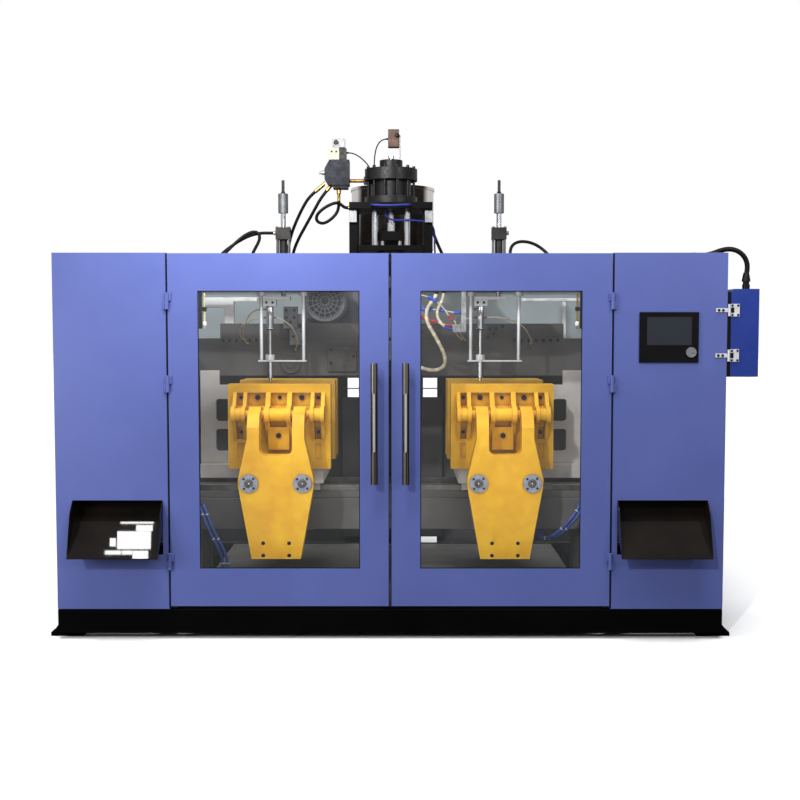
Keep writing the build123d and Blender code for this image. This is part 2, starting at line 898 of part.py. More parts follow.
def rear_yoke():
    """The rear yoke and the clamp cylinder behind it."""
    outline = [
        (yoke_foot_half, yoke_bottom),
        (yoke_wide_half, tie_z - 20),
        (yoke_wide_half, platen_bottom),
        (platen_half, platen_bottom),
        (platen_half, platen_top),
    ]
    points = outline + [(-x, z) for x, z in reversed(outline)]
    yoke = across(points, rear_yoke_front, rear_yoke_back)
    yoke -= rod_y(ram_radius + fit, rear_yoke_front - 1, rear_yoke_back + 1, 0, ram_z)
    for x in (-tie_x, tie_x):
        yoke -= rod_y(tie_radius + fit, rear_yoke_front - 1, rear_yoke_back + 1, x, tie_z)
    end = rear_yoke_back + ram_length
    barrel = rod_y(ram_barrel, rear_yoke_back, end, 0, ram_z)
    barrel -= rod_y(ram_bore, rear_yoke_back - 1, end - 20, 0, ram_z)
    return [yoke, barrel]


def clamp_rods():
    """Tie rods with their end caps and nuts, the lower bar, the pivot shaft and the screw heads."""
    rod_front = yoke_front - tie_cap_thick + 7
    nut_end = rear_yoke_back + 26
    pieces = []
    for x in (-tie_x, tie_x):
        pieces.append(rod_y(tie_radius, rod_front, nut_end, x, tie_z))
        cap = rod_y(tie_cap_radius, yoke_front - tie_cap_thick, yoke_front, x, tie_z)
        pieces.append(cap - rod_y(tie_radius + fit, yoke_front - 50, yoke_front + 1, x, tie_z))
        nut = rod_y(tie_radius + 15, rear_yoke_back, nut_end, x, tie_z)
        pieces.append(nut - rod_y(tie_radius + fit, rear_yoke_back - 1, nut_end + 1, x, tie_z))
    pieces.append(block(-lower_bar_half, lower_bar_half, yoke_back, rear_yoke_front,
                        lower_bar_bottom, lower_bar_top))
    pieces.append(rod_x(pivot_radius, -ear_places[-1][1], ear_places[-1][1], pivot_y, pivot_z))
    return pieces + front_bolts()


def runner(x, y):
    """A bearing block that wraps a rail."""
    low = ledge_top + 7
    piece = block(x - 50, x + 50, y - runner_half, y + runner_half, low, carriage_bottom)
    return piece - block(x - 51, x + 51, y - rail_half - slack, y + rail_half + slack, low - 1, rail_top + slack)


def carriage():
    """The carriage block with its wear strips, runners, shift rod and outer side plate."""
    table = block(-carriage_half, carriage_half, carriage_front, carriage_back, carriage_bottom, carriage_top)
    for x in (-tie_x, tie_x):
        table -= rod_y(tie_radius + fit, carriage_front - 1, carriage_back + 1, x, tie_z)
    pieces = [table]
    for x in (-carriage_half + 10, carriage_half - 50):
        pieces.append(block(x, x + 40, carriage_front, carriage_back, carriage_top, platen_bottom))
    for x in (-carriage_half + 70, carriage_half - 70):
        for y in (blow_y - rail_offset, blow_y + rail_offset):
            pieces.append(runner(x, y))
    plate_back = side_plate_y + side_plate_thick
    pieces.append(block(carriage_half, side_plate_out, side_plate_y - 30, plate_back + 30,
                        carriage_bottom, carriage_top))
    plate = block(side_plate_in, side_plate_out, side_plate_y, plate_back, carriage_top, side_plate_top)
    plate += block(side_tab_in, side_plate_out, side_plate_y, plate_back, side_plate_top, side_tab_top)
    for low in (carriage_top + 73, carriage_top + 247):
        gap = block(side_plate_in + 24, side_plate_in + 106, side_plate_y - 1, plate_back + 1, low, low + 130)
        plate -= fillet(gap.edges().filter_by(Axis.Y), 18)
    pieces.append(plate)
    lug = block(-20, 20, blow_y - 30, blow_y + 30, ledge_top - 25, carriage_bottom)
    piston_end = shift_outer - station_x - 22
    rod = rod_x(shift_rod, 20, piston_end - 25, blow_y, shift_z)
    rod += rod_x(shift_bore - fit, piston_end - 25, piston_end, blow_y, shift_z)
    return pieces + [lug, rod]


# Stripper frames, blow pins and their cylinders


def stripper_frame(side):
    """A hang plate, two rods with collars, the bar at their foot and the guide bush on it."""
    pin = pin_offset[side]
    rods = stripper_rod_places[side]
    y0 = blow_y - head_beam_reach
    y1 = blow_y + head_beam_reach
    plate = block(-hang_plate_half, hang_plate_half, y0, y1, hang_plate_bottom, hang_plate_top)
    plate -= rod_z(blow_rod + 6, hang_plate_bottom - 1, hang_plate_top + 1, 0, blow_y)
    bar = block(rods[0] - stripper_bar_lap, rods[1] + stripper_bar_lap, blow_y - 20, blow_y + 20,
                stripper_bar_bottom, stripper_bar_top)
    bar -= rod_z(pin_rod + 2, stripper_bar_bottom - 1, stripper_bar_top + 1, pin, blow_y)
    bush = rod_z(guide_radius, stripper_bar_top, guide_top, pin, blow_y)
    bush -= rod_z(pin_rod + fit, stripper_bar_top - 1, guide_top + 1, pin, blow_y)
    pieces = [plate, bar, bush]
    for x in rods:
        rod = rod_z(stripper_rod, stripper_bar_top, hang_plate_bottom, x, blow_y)
        pieces.append(rod + rod_z(stripper_collar, hang_plate_bottom - 22, hang_plate_bottom, x, blow_y))
    return pieces


pin_rod = 10
pin_block_top = 1766
pin_block_bottom = 1730
sleeve_bottom = 1604
tip_top = 1405
tip_bottom = 1318
crosshead_top = 1784


def blow_pin(side):
    """The blow pin with its clamp block, the crosshead, the piston rod and the stroke nut on top."""
    x = pin_offset[side]
    y = blow_y
    head = block(x - 38, x + 38.5, y - 20, y + 20, pin_block_bottom, pin_block_top)
    crosshead = block(x - 38, 40, y - 28, y + 28, pin_block_top, crosshead_top)
    steps = [
        (12, sleeve_bottom + 113, pin_block_bottom),
        (15.5, sleeve_bottom, sleeve_bottom + 113),
        (28, sleeve_bottom - 6, sleeve_bottom),
        (pin_rod, tip_top, sleeve_bottom - 6),
        (17, tip_bottom, tip_top),
        (9, tip_bottom - 18, tip_bottom),
    ]
    pin = fused([rod_z(radius, z0, z1, x, y) for radius, z0, z1 in steps])
    for z in air_port_heights:
        pin += rod_between(5.5, (x, y, z), air_port(side, z, air_port_reach))
    low = air_port_heights[1]
    pin += rod_between(5.5, (x, y, low), outer_port(side, low, air_port_reach))
    rod = rod_z(blow_rod, crosshead_top, nut_bottom, 0, y)
    rod += rod_z(column_bore - fit, 1985, 2005, 0, y)
    nut = rod_z(nut_radius, nut_bottom, nut_top, 0, y)
    cone = Pos(0, y, nut_top + 7.5) * Cone(15.5, 9, 15)
    tip = rod_z(8.5, nut_top + 15, nut_top + 77, 0, y)
    return [head, crosshead, pin, rod, nut, cone + tip]


def blow_cylinder(port_side):
    """A cylinder on the hang plate: foot, tube, four tie bolts and the cap with its hose port."""
    y = blow_y
    half = column_half - 2.5
    foot_top = hang_plate_top + 50
    foot = block(-half, half, y - half, y + half, hang_plate_top, foot_top)
    foot -= rod_z(blow_rod + fit, hang_plate_top - 1, foot_top + 1, 0, y)
    tube = rod_z(column_tube, foot_top, column_cap_bottom, 0, y)
    tube -= rod_z(column_bore, foot_top - 1, column_cap_bottom + 1, 0, y)
    cap = block(-column_half, column_half, y - column_half, y + column_half, column_cap_bottom, column_cap_top)
    cap -= rod_z(blow_rod + fit, column_cap_bottom - 1, column_cap_top + 1, 0, y)
    port = rod_x(12, column_half, column_half + 16, y, column_cap_top - 30)
    pieces = [foot, tube, cap, port if port_side > 0 else mirrored(port)]
    for x in (-33, 33):
        for dy in (-33, 33):
            pieces.append(rod_z(5, foot_top, column_cap_bottom, x, y + dy))
            pieces.append(rod_z(7, column_cap_top, column_cap_top + 7, x, y + dy))
    return pieces


# Die head group


def die_head():
    """The head body with its die, its neck up to the cross plate and the block that the barrel meets."""
    y = blow_y
    body = rod_z(head_radius, head_bottom, hang_plate_top, 0, y)
    body += rod_z(die_radius, die_bottom, head_bottom, 0, y)
    body += rod_z(die_radius + 18, head_bottom - 26, head_bottom, 0, y)
    body += rod_z(neck_radius, hang_plate_top, cross_plate_bottom, 0, y)
    inlet = head_beam_reach + 10
    body += block(-68, 68, y, y + inlet, barrel_z - 68, barrel_z + 68)
    body += rod_x(12, 0, head_radius, y, die_bottom + 57)
    for z in (1672, 1700):
        body += rod_between(6, (0, y, z), wire_start(z))
    for x in (-push_x, push_x):
        body -= rod_z(push_radius + fit, cross_plate_bottom - 100, cross_plate_bottom + 1, x, y)
    return body


def heater_bands():
    """Bands round the head and along the barrel, each with a terminal block."""
    pieces = []
    for low in (head_bottom + 20, head_bottom + 150):
        ring = rod_z(head_radius + band_thick, low, low + 110, 0, blow_y)
        pieces.append(ring - rod_z(head_radius + seat, low - 1, low + 111, 0, blow_y))
    start = blow_y + head_beam_reach + 80
    for i in range(5):
        y = start + 190 * i
        ring = rod_y(barrel_radius + band_thick, y, y + 140, 0, barrel_z)
        pieces.append(ring - rod_y(barrel_radius + seat, y - 1, y + 141, 0, barrel_z))
    return pieces


def head_support():
    """The support plate on four legs, silver brackets, inner pillars and the cross plate."""
    y0 = blow_y - head_beam_reach
    y1 = blow_y + head_beam_reach
    plate = block(-support_half, support_half, y0, y1, support_bottom, support_top)
    plate -= rod_z(parison_rod + 10, support_bottom - 1, support_top + 1, 0, blow_y)
    cross_half = support_half - leg_width
    cross_top = cross_plate_bottom + cross_plate
    cross = block(-cross_half, cross_half, y0 + 20, y1 - 20, cross_plate_bottom, cross_top)
    for x in (-push_x, push_x):
        cross -= rod_z(push_radius + 3, cross_plate_bottom - 1, cross_top + 1, x, blow_y)
    pieces = [plate, cross]
    for y in (y0 + 5, y1 - 5 - leg_depth):
        pieces += both(block(cross_half, support_half, y, y + leg_depth, head_beam_top, support_bottom))
    pieces += both(block(cross_half + 2, support_half, y0 - 20, y0 + 5, support_bottom - 78, support_bottom - 14))
    for y in (blow_y - pillar_y, blow_y + pillar_y):
        pieces += both(rod_z(pillar_radius, cross_top, support_bottom, pillar_x, y))
    return pieces


def parison_cylinder():
    """The hollow cylinder with its flanges, boss, tie bolts and the flat that the pressure pipe meets."""
    z0 = parison_cylinder_bottom
    body = rod_z(cylinder_flange, z0, z0 + flange_height, 0, blow_y)
    body += rod_z(cylinder_radius, z0 + flange_height, cylinder_top - top_flange_height, 0, blow_y)
    body += rod_z(cylinder_flange, cylinder_top - top_flange_height, cylinder_top, 0, blow_y)
    body += rod_z(boss_radius, cylinder_top, boss_top, 0, blow_y)
    body += block(-cylinder_flange - 6, 0, blow_y - 22, blow_y + 22, pipe_z - 20, pipe_z + 22)
    body -= rod_z(cylinder_bore, z0 + 30, cylinder_top - 30, 0, blow_y)
    body -= rod_z(parison_rod + fit, z0 - 1, z0 + 31, 0, blow_y)
    body -= rod_z(thin_rod + fit, cylinder_top - 31, boss_top + 1, 0, blow_y)
    bolt = rod_z(9, cylinder_top, cylinder_top + 14, cylinder_flange - 16, blow_y)
    tie = rod_z(7, z0 + flange_height, cylinder_top - top_flange_height, cylinder_flange - 16, blow_y)
    pieces = [body]
    spin = Pos(0, blow_y, 0)
    for i in range(12):
        turn = spin * Rot(0, 0, 15 + 30 * i) * Pos(0, -blow_y, 0)
        pieces += [turn * bolt, turn * tie]
    return pieces


thin_rod = 5


def parison_rod_piece():
    """The piston rod, its coupling, the yoke bracket and the two push rods that set the die gap."""
    y = blow_y
    middle = parison_cylinder_bottom + 90
    rod = rod_z(parison_rod, bracket_top, middle, 0, y)
    rod += rod_z(parison_rod + 7, bracket_top, bracket_top + 50, 0, y)
    rod += rod_z(cylinder_bore - fit, middle, middle + 30, 0, y)
    rod += rod_z(thin_rod, middle + 30, boss_top + 57, 0, y)
    lock_nut = boss_top + parison_travel + slack
    rod += rod_z(thin_rod + 11, lock_nut, lock_nut + 16, 0, y)
    bracket = block(-bracket_half, bracket_half, y - 28, y + 28, bracket_bottom, bracket_top)
    for x in (-pillar_x, pillar_x):
        for dy in (-pillar_y, pillar_y):
            bracket -= rod_z(pillar_radius + 2, bracket_bottom - 1, bracket_top + 1, x, y + dy)
    push = [rod_z(push_radius, cross_plate_bottom - 80, bracket_bottom, x, y) for x in (-push_x, push_x)]
    return [rod, bracket] + push


def position_sensor():
    """The sensor housing, the strip that carries it and its rod guide below."""
    strip = block(46, 54, blow_y - 12, blow_y + 12, boss_top, boss_top + 144)
    housing = block(-17, 46, blow_y - 25, blow_y + 25, boss_top + 73, boss_top + 174)
    return [strip, housing]


def valve_manifold():
    """The manifold block with its plug, the pressure pipe to the cylinder and the hose ends below."""
    y = blow_y
    d = manifold_half_depth
    left, right = manifold_left, manifold_right
    z1 = manifold_top
    body = across([
        (left, z1 - 50), (left + 28, z1), (right, z1), (right, manifold_bottom + 18),
        (left + 20, manifold_bottom + 18), (left, manifold_bottom + 52),
    ], y - d, y + d)
    foot = block(left + 48, right - 8, y - d + 8, y + d - 8, manifold_bottom, manifold_bottom + 18)
    plug = rod_x(14, left - 18, left, y, z1 - 68) + rod_x(9, left - 33, left - 18, y, z1 - 68)
    pipe = rod_x(pipe_radius, right, -cylinder_flange - 6, y, pipe_z)
    drain = rod_z(9, manifold_bottom - 66, manifold_bottom, -299, y)
    drain += rod_z(13, manifold_bottom - 26, manifold_bottom, -299, y)
    first = rod_between(11, (-372, y, 2434), hose_start_1) & block(-500, left, -500, 500, 0, 3000)
    second = rod_between(11, (-347, y, 2414), hose_start_2) & block(-500, 0, -500, 500, 0, z1 - 144)
    return [body, foot, plug, pipe, drain, first, second - foot]


hose_start_1 = (-434, blow_y, 2382)
hose_start_2 = (-369, blow_y, 2387)


def servo_valve():
    """The valve body with its coil housing and the pilot head with its knob."""
    z = manifold_top
    body = block(-354, -295, blow_y - 24, blow_y + 24, z, z + 71)
    coil = block(-295, -254, blow_y - 22, blow_y + 22, z, z + 68)
    head = block(-332, -262, blow_y - 20, blow_y + 20, z + 71, z + 120)
    knob = rod_y(13, blow_y - 32, blow_y - 20, -313, z + 100)
    return [body, coil, head, knob]


# Extruder


def extruder_barrel():
    """The barrel with its flange, and the feed throat that the hopper stands on."""
    start = blow_y + head_beam_reach + 10
    barrel = rod_y(barrel_radius, start + 30, gearbox_y, 0, barrel_z)
    barrel += rod_y(barrel_radius + 25, start, start + 30, 0, barrel_z)
    barrel -= rod_y(barrel_bore, start - 1, gearbox_y + 1, 0, barrel_z)
    barrel -= rod_z(30, barrel_z, barrel_z + barrel_radius + 10, 0, feed_y)
    throat = block(-75, 75, feed_y - 75, feed_y + 75, barrel_z, throat_top)
    throat -= rod_y(barrel_radius + seat, feed_y - 76, feed_y + 76, 0, barrel_z)
    throat -= rod_z(30, barrel_z, throat_top + 1, 0, feed_y)
    return [barrel, throat]


def extruder_screw():
    start = blow_y + head_beam_reach + 30
    screw = rod_y(barrel_bore - screw_clearance, start, gearbox_y - 20, 0, barrel_z)
    return screw + rod_y(18, gearbox_y - 20, gearbox_y + 90, 0, barrel_z)


def gearbox():
    case = block(gearbox_left, gearbox_right, gearbox_y, stand_end, gearbox_bottom, gearbox_top)
    case = fillet(case.edges().filter_by(Axis.Y), 25)
    return case - rod_y(18 + fit, gearbox_y - 1, gearbox_y + 95, 0, barrel_z)


def drive_motor():
    """The motor with its fan cover to the front and its terminal box on top."""
    front = gearbox_y - motor_length
    motor = rod_y(motor_radius, front, gearbox_y, motor_x, motor_z)
    motor += rod_y(motor_radius - 10, front - 40, front, motor_x, motor_z)
    top = motor_z + motor_radius
    return motor + block(motor_x - 60, motor_x + 60, front + 100, front + 230, top - 30, top + 60)


def hopper():
    """A spun steel hopper: straight wall, cone and neck, with a rolled rim."""
    wall = 3
    r = hopper_radius
    outline = [
        (throat_radius, throat_top), (r, hopper_shoulder), (r, hopper_top - 20), (r + 6, hopper_top - 20),
        (r + 6, hopper_top), (r - wall, hopper_top), (r - wall, hopper_shoulder + 2),
        (throat_radius - wall, throat_top + 2), (throat_radius - wall, throat_top),
    ]
    face = Plane.XZ * make_face(Polyline(*outline, close=True))
    return Pos(0, feed_y, 0) * revolve(face, Axis.Z)


# Hoses and cables. Each route is a list of points that follows the real hose.


def box_conduit():
    """From the gland on the side box, up and over the side cover, into the gland on the frame."""
    x = gland_x
    y = gland_y
    z = box_top + gland_height
    return hose(13, [
        (x, y, z), (x, y, z + 32), (x + 6, y + 1, z + 64), (x + 4, y + 2, z + 97), (x - 10, y + 4, z + 128),
        (x - 35, y + 7, z + 152), (x - 66, y + 12, z + 165), (x - 100, y + 16, z + 166),
        (x - 134, y + 19, z + 157), (x - 167, y + 20, z + 144), (x - 200, y + 20, z + 136),
        (x - 230, y + 20, z + 134), (x - 256, y + 20, z + 134),
    ])


def beam_gland():
    """The block on top of the frame that the conduit enters."""
    z = box_top + gland_height + 134
    block_x = gland_x - 256
    body = block(block_x - 50, block_x - 12, conduit_y - 18, conduit_y + 18, top_beam_top, z + 14)
    return body + rod_x(16, block_x - 14, block_x, conduit_y, z) - block(
        block_x - 13, block_x + 1, conduit_y - 20, conduit_y + 20, z - 30, top_beam_top)


plate_hose_z = hang_plate_top + union_height
beam_hose_z = head_beam_top + union_height


def hydraulic_hoses():
    cap_port = (-station_x - column_half - 16, blow_y, column_cap_top - 30)
    return [
        hose(9, [
            hose_start_1, (-471, -150, 2351), (-512, -132, 2285), (-545, -108, 2222), (-574, -85, 2158), (-594, -65, 2090),
            (-604, -54, 2018), (-604, -50, 1936), (-604, -50, plate_hose_z),
        ]),
        hose(9, [
            hose_start_2, (-402, -150, 2346.5), (-442, -140, 2276), (-490, -122, 2194), (-538, -102, 2114), (-570, -86, 2036),
            (-578, -76, 1966), (-572, -72, 1914), (-572, -72, plate_hose_z),
        ]),
        hose(9, [
            (-299, blow_y, manifold_bottom - 66), (-299, -150, 2291), (-315, -152, 2253), (-355, -157, 2215),
            (-393, -165, 2198), (-425, -175, 2212), (-426, -182, 2243), (-398, -190, 2274),
            (-350, -194, 2304), (-302, -194, 2318), (-278, -182, 2300), (-262, -178, 2288), (-support_half - 12, -178, 2288),
        ]),
        hose(9, [
            cap_port, (cap_port[0] - 27, blow_y, cap_port[2]), (-742, -146, 2148), (-800, -130, 2139), (-858, -110, 2116),
            (-915, -88, 2084), (-972, -65, 2046), (-1018, -38, 2004), (-1036, 0, 1970), (-1036, 0, beam_hose_z),
        ]),
        hose(9, [
            (-792, -297, beam_hose_z), (-792, -297, 1976), (-776, -262, 2036), (-756, -238, 2076),
            (-744, -220, 2112), (-752, -208, 2142), (-782, -204, 2152), (-826, -208, 2134), (-866, -216, 2102),
            (-902, -230, 2066), (-936, -252, 2028), (-968, -280, 1992), (-976, -298, 1962), (-976, -298, beam_hose_z),
        ]),
        hose(9, [
            (690, -240, plate_hose_z), (690, -240, 1918), (678, -228, 1985), (676, -215, 2046),
            (694, -206, 2080), (731, -200, 2096), (779, -200, 2094), (828, -206, 2076), (871, -220, 2043),
            (902, -244, 2006), (922, -294, 1974), (922, -294, beam_hose_z),
        ]),
    ]


def plate_union_left():
    """The union in the left end of the support plate that the looped hose enters."""
    return rod_x(12, -support_half - 12, -support_half, -178, 2288)


def head_cables():
    """Cables and hoses of the die head, the heaters and the valve."""
    front = blow_y - head_beam_reach
    beam_y = front + head_beam_width / 2
    return [
        hose(9, [
            (222, -170, support_bottom), (222, -170, 2202), (243, -180, 2140), (266, -194, 2080),
            (288, -222, 2030), (300, -262, 1994), (302, -296, 1966), (302, -296, beam_hose_z),
        ]),
        hose(3.5, [
            (-254, blow_y, 2602), (-230, blow_y, 2602), (-204, -151, 2594), (-172, -152, 2574), (-142, -153, 2546),
            (-126, -154, 2524), (-126, -154, cylinder_top),
        ]),
        hose(3.5, [
            (-17, blow_y, 2680), (-40, blow_y, 2680), (-66, -152, 2664), (-84, -154, 2632), (-92, -155, 2594),
            (-96, -157, 2552), (-96, -157, cylinder_top),
        ]),
        hose(5, [
            (-110, front, 2287), (-110, front - 16, 2287), (-98, front - 34, 2286), (-76, front - 42, 2285),
            (-30, front - 44, 2282), (20, front - 43, 2283), (66, front - 42, 2286), (98, front - 35, 2287),
            (110, front - 16, 2287), (110, front, 2287),
        ]),
        hose(5, [
            (-30, -262, support_bottom), (-30, -262, 2240), (-12, -258, 2218), (30, -255, 2210), (90, -256, 2213),
            (150, -255, 2209), (205, -256, 2203), (238, -258, 2178), (248, -260, 2132), (246, -263, 2075),
            (249, -268, 2015), (247, -287, 1966), (247, -287, beam_hose_z),
        ]),
        hose(10, [
            (258, beam_y, head_beam_bottom), (258, beam_y, 1796), (240, -288, 1764), (214, -276, 1732),
            (201, -270, 1698), (199, -268, 1661), (212, -268, 1621), (237, -268, 1580), (262, -268, 1536),
            (285, -268, 1494), (302, -266, 1454), (309, -262, 1417), (300, -252, 1386), (270, -236, 1366),
            (230, -214, 1362), (190, -188, 1370), (156, -164, 1381), (126, -150, 1387),
            (head_radius, blow_y, die_bottom + 57),
        ]),
        hose(8.5, [
            (297, beam_y, head_beam_bottom), (297, beam_y, 1795), (290, -292, 1762), (274, -286, 1732),
            (261, -282, 1700), (262, -279, 1666), (279, -277, 1634), (304, -277, 1612),
            (328, terminal_y, terminal_z), (terminal_x, terminal_y, terminal_z),
        ]),
        hose(3.5, [
            (112, beam_y, head_beam_bottom), (112, beam_y, 1812), (140, -298, 1796), (177, -295, 1788),
            (211, -293, 1779), (245, -292, 1762), (279, -292, 1736), (307, -291, 1703), (327, -290, 1668),
            (350, -287, 1645), (366, -284, 1640), (366, -284, terminal_z + 23),
        ]),
        hose(3.5, [
            wire_start(1700), wire_next(1700), (172, -240, 1709), (212, -246, 1711), (252, -260, 1708),
            (292, -274, 1703), (330, -283, 1696), (364, -288, 1690), (396, -288, 1690),
        ]),
        hose(3.5, [
            wire_start(1672), wire_next(1672), (172, -238, 1664), (210, -246, 1652), (250, -260, 1640),
            (290, -280, 1626), (324, -287, 1619), (terminal_x, -287, 1619),
        ]),
    ]


terminal_y = -277
wire_way = (0.9, -0.436)


def wire_start(z):
    return (wire_way[0] * 112, blow_y + wire_way[1] * 112, z)


def wire_next(z):
    return (wire_way[0] * 142, blow_y + wire_way[1] * 142, z)


def air_port(side, z, reach):
    """A place on the axis of a pin's left air port, in the station's own frame."""
    return (pin_offset[side] - 0.8 * reach, blow_y + 0.6 * reach, z)


def outer_port(side, z, reach):
    """A place on the axis of a pin's right air port."""
    return (pin_offset[side] + 0.8 * reach, blow_y + 0.6 * reach, z)


air_port_heights = (1712, 1664)
air_port_reach = 28


def air_hoses_left():
    """Three thin air hoses from the left blow pin's ports back to the rear beam."""
    high, low = air_port_heights
    end = dark_beam_y - 20
    return [
        hose(4, [
            air_port(-1, high, air_port_reach), air_port(-1, high, 50), (-158, -106, 1710), (-190, -86, 1697),
            (-213, -58, 1675), (-230, -25, 1648), (-248, 15, 1618), (-262, 60, 1586), (-269, 110, 1556),
            (-270, 170, 1528), (-264, 230, 1508), (-264, end, 1508),
        ]),
        hose(4, [
            air_port(-1, low, air_port_reach), air_port(-1, low, 50), (-158, -104, 1662), (-192, -75, 1654),
            (-226, -40, 1640), (-258, 0, 1622), (-279, 50, 1598), (-290, 105, 1572), (-290, 165, 1548),
            (-284, 225, 1532), (-284, end, 1532),
        ]),
        hose(3, [
            outer_port(-1, low, air_port_reach), outer_port(-1, low, 50), (-16, -104, 1653), (22, -80, 1628),
            (46, -36, 1596), (60, 36, 1546), (56, 110, 1508), (40, 176, 1482), (29, 226, 1470), (29, end, 1470),
        ]),
    ]


def air_hoses_right():
    """Three thin air hoses from the right blow pin's ports back to the rear beam."""
    high, low = air_port_heights
    end = dark_beam_y - 20
    return [
        hose(4, [
            air_port(1, high, air_port_reach), air_port(1, high, 50), (-160, -106, 1714), (-196, -94, 1706),
            (-226, -66, 1688), (-245, -25, 1663), (-254, 15, 1634), (-252, 60, 1604), (-239, 110, 1577),
            (-215, 170, 1550), (-186, 225, 1532), (-186, end, 1532),
        ]),
        hose(4, [
            air_port(1, low, air_port_reach), air_port(1, low, 50), (-158, -106, 1664), (-192, -84, 1652),
            (-214, -45, 1633), (-222, -5, 1610), (-218, 40, 1586), (-204, 90, 1562), (-184, 150, 1540),
            (-166, 222, 1528), (-166, end, 1528),
        ]),
        hose(4, [
            outer_port(1, low, air_port_reach), outer_port(1, low, 50), (-26, -104, 1668), (18, -88, 1664),
            (74, -60, 1652), (132, -16, 1632), (176, 44, 1598), (206, 110, 1562), (224, 172, 1528),
            (234, 226, 1506), (234, end, 1506),
        ]),
    ]


def station_hoses():
    """Blue hose bundles at the outer end of each station, from the bed down to the floor or under the bed."""
    bed_front = blow_y - bed_half_depth
    left = []
    right = []
    for i, shift in enumerate((0, 26)):
        left.append(hose(9, [
            (-1052 - shift, bed_front, 605), (-1052 - shift, bed_front - 60, 605),
            (-1060 - shift, bed_front - 110, 580), (-1054 - shift, bed_front - 122, 520),
            (-1034 - shift, bed_front - 122, 452), (-1000 - shift, bed_front - 116, 392),
            (-962 - shift, bed_front - 108, 334), (-934 - shift, bed_front - 104, 272),
            (-924 - shift, bed_front - 102, 210), (-924 - shift, bed_front - 102, base_top + floor_plate),
        ]))
        right.append(hose(9, [
            (1052 + shift, bed_front, 605), (1052 + shift, bed_front - 60, 605),
            (1072 + shift, bed_front - 104, 590), (1066 + shift, bed_front - 118, 534),
            (1032 + shift, bed_front - 114, 484), (980 + shift, bed_front - 96, 448),
            (926 + shift, bed_front - 66, 424), (880 + shift, bed_front - 24, 416),
            (844 + shift, bed_front + 14, 416), (832 + shift, bed_front + 40, 436),
            (832 + shift, bed_front + 40, bed_bottom),
        ]))
    return left + right


def build():
    save("base_frame", base_beams() + [floor_sheet()] + extruder_stand())
    save("levelling_feet", [anchor_foot(1 if x > 0 else -1, y) for x, y in foot_places()] + stand_pads())
    save("upper_frame", inner_frame() + head_beams() + rear_plate() + hose_unions()
         + [cable_hanger(), beam_gland(), plate_union_left()])
    save("bed_beam", bed())
    save("carriage_rails", rails() + both(shift_cylinder()))
    save("outer_covers", outer_covers())
    save("frame_hinges", [half for z in hinge_heights for half in both(fixed_hinge(z))])
    for name, side in (("left", -1), ("right", 1)):
        save(f"front_panel_{name}", [front_panel(side)])
        save(f"chute_{name}", [on_side(chute(), side)])
        save(f"door_{name}", door(side))
        save(f"window_{name}", [on_side(window(), side)])
        save(f"handle_{name}", [on_side(handle(), side)])
        save(f"front_yoke_{name}", [at_station(front_yoke(), side)])
        save(f"front_platen_{name}", [at_station(front_platen(), side)])
        save(f"clamp_rods_{name}", [at_station(piece, side) for piece in clamp_rods()])
        save(f"rear_platen_{name}", [at_station(piece, side) for piece in rear_platen()])
        save(f"rear_yoke_{name}", [at_station(piece, side) for piece in rear_yoke()])
        save(f"carriage_{name}", [at_station(piece, side) for piece in carriage()])
        shift = Pos(side * station_x, 0, 0)
        save(f"blow_pin_{name}", [shift * piece for piece in blow_pin(side)])
    places = ((-1, Pos(-station_x, 0, 0)), (1, Pos(station_x, 0, 0)))
    save("stripper_frames", [place * piece for side, place in places for piece in stripper_frame(side)])
    save("blow_cylinders", [place * piece for side, place in places for piece in blow_cylinder(side)])
    save("control_panel", [control_panel()])
    save("display_screen", [display_screen()])
    save("jog_dial", [jog_dial()])
    save("operator_box", operator_box())
    save("box_hinge_straps", [box_strap(z) for z in box_hinge_heights])
    save("box_hinge_plates", [box_hinge(z) for z in box_hinge_heights])
    save("stop_button", [button(stop_z)])
    save("start_button", [button(start_z)])
    save("die_head", [die_head()])
    save("heater_bands", heater_bands())
    save("head_support", head_support())
    save("parison_cylinder", parison_cylinder())
    save("parison_rod", parison_rod_piece())
    save("position_sensor", position_sensor())
    save("valve_manifold", valve_manifold())
    save("servo_valve", servo_valve())
    save("extruder_barrel", extruder_barrel())
    save("extruder_screw", [extruder_screw()])
    save("gearbox", [gearbox()])
    save("drive_motor", [drive_motor()])
    save("hopper", [hopper()])
    save("box_conduit", [box_conduit()])
    save("air_hoses_left", [Pos(-station_x, 0, 0) * piece for piece in air_hoses_left()])
    save("air_hoses_right", [Pos(station_x, 0, 0) * piece for piece in air_hoses_right()])
    save("hydraulic_hoses", hydraulic_hoses())
    save("head_cables", head_cables())
    save("station_hoses", station_hoses())


build()
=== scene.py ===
import json
import math

import bmesh
import bpy
from mathutils import Matrix, Vector

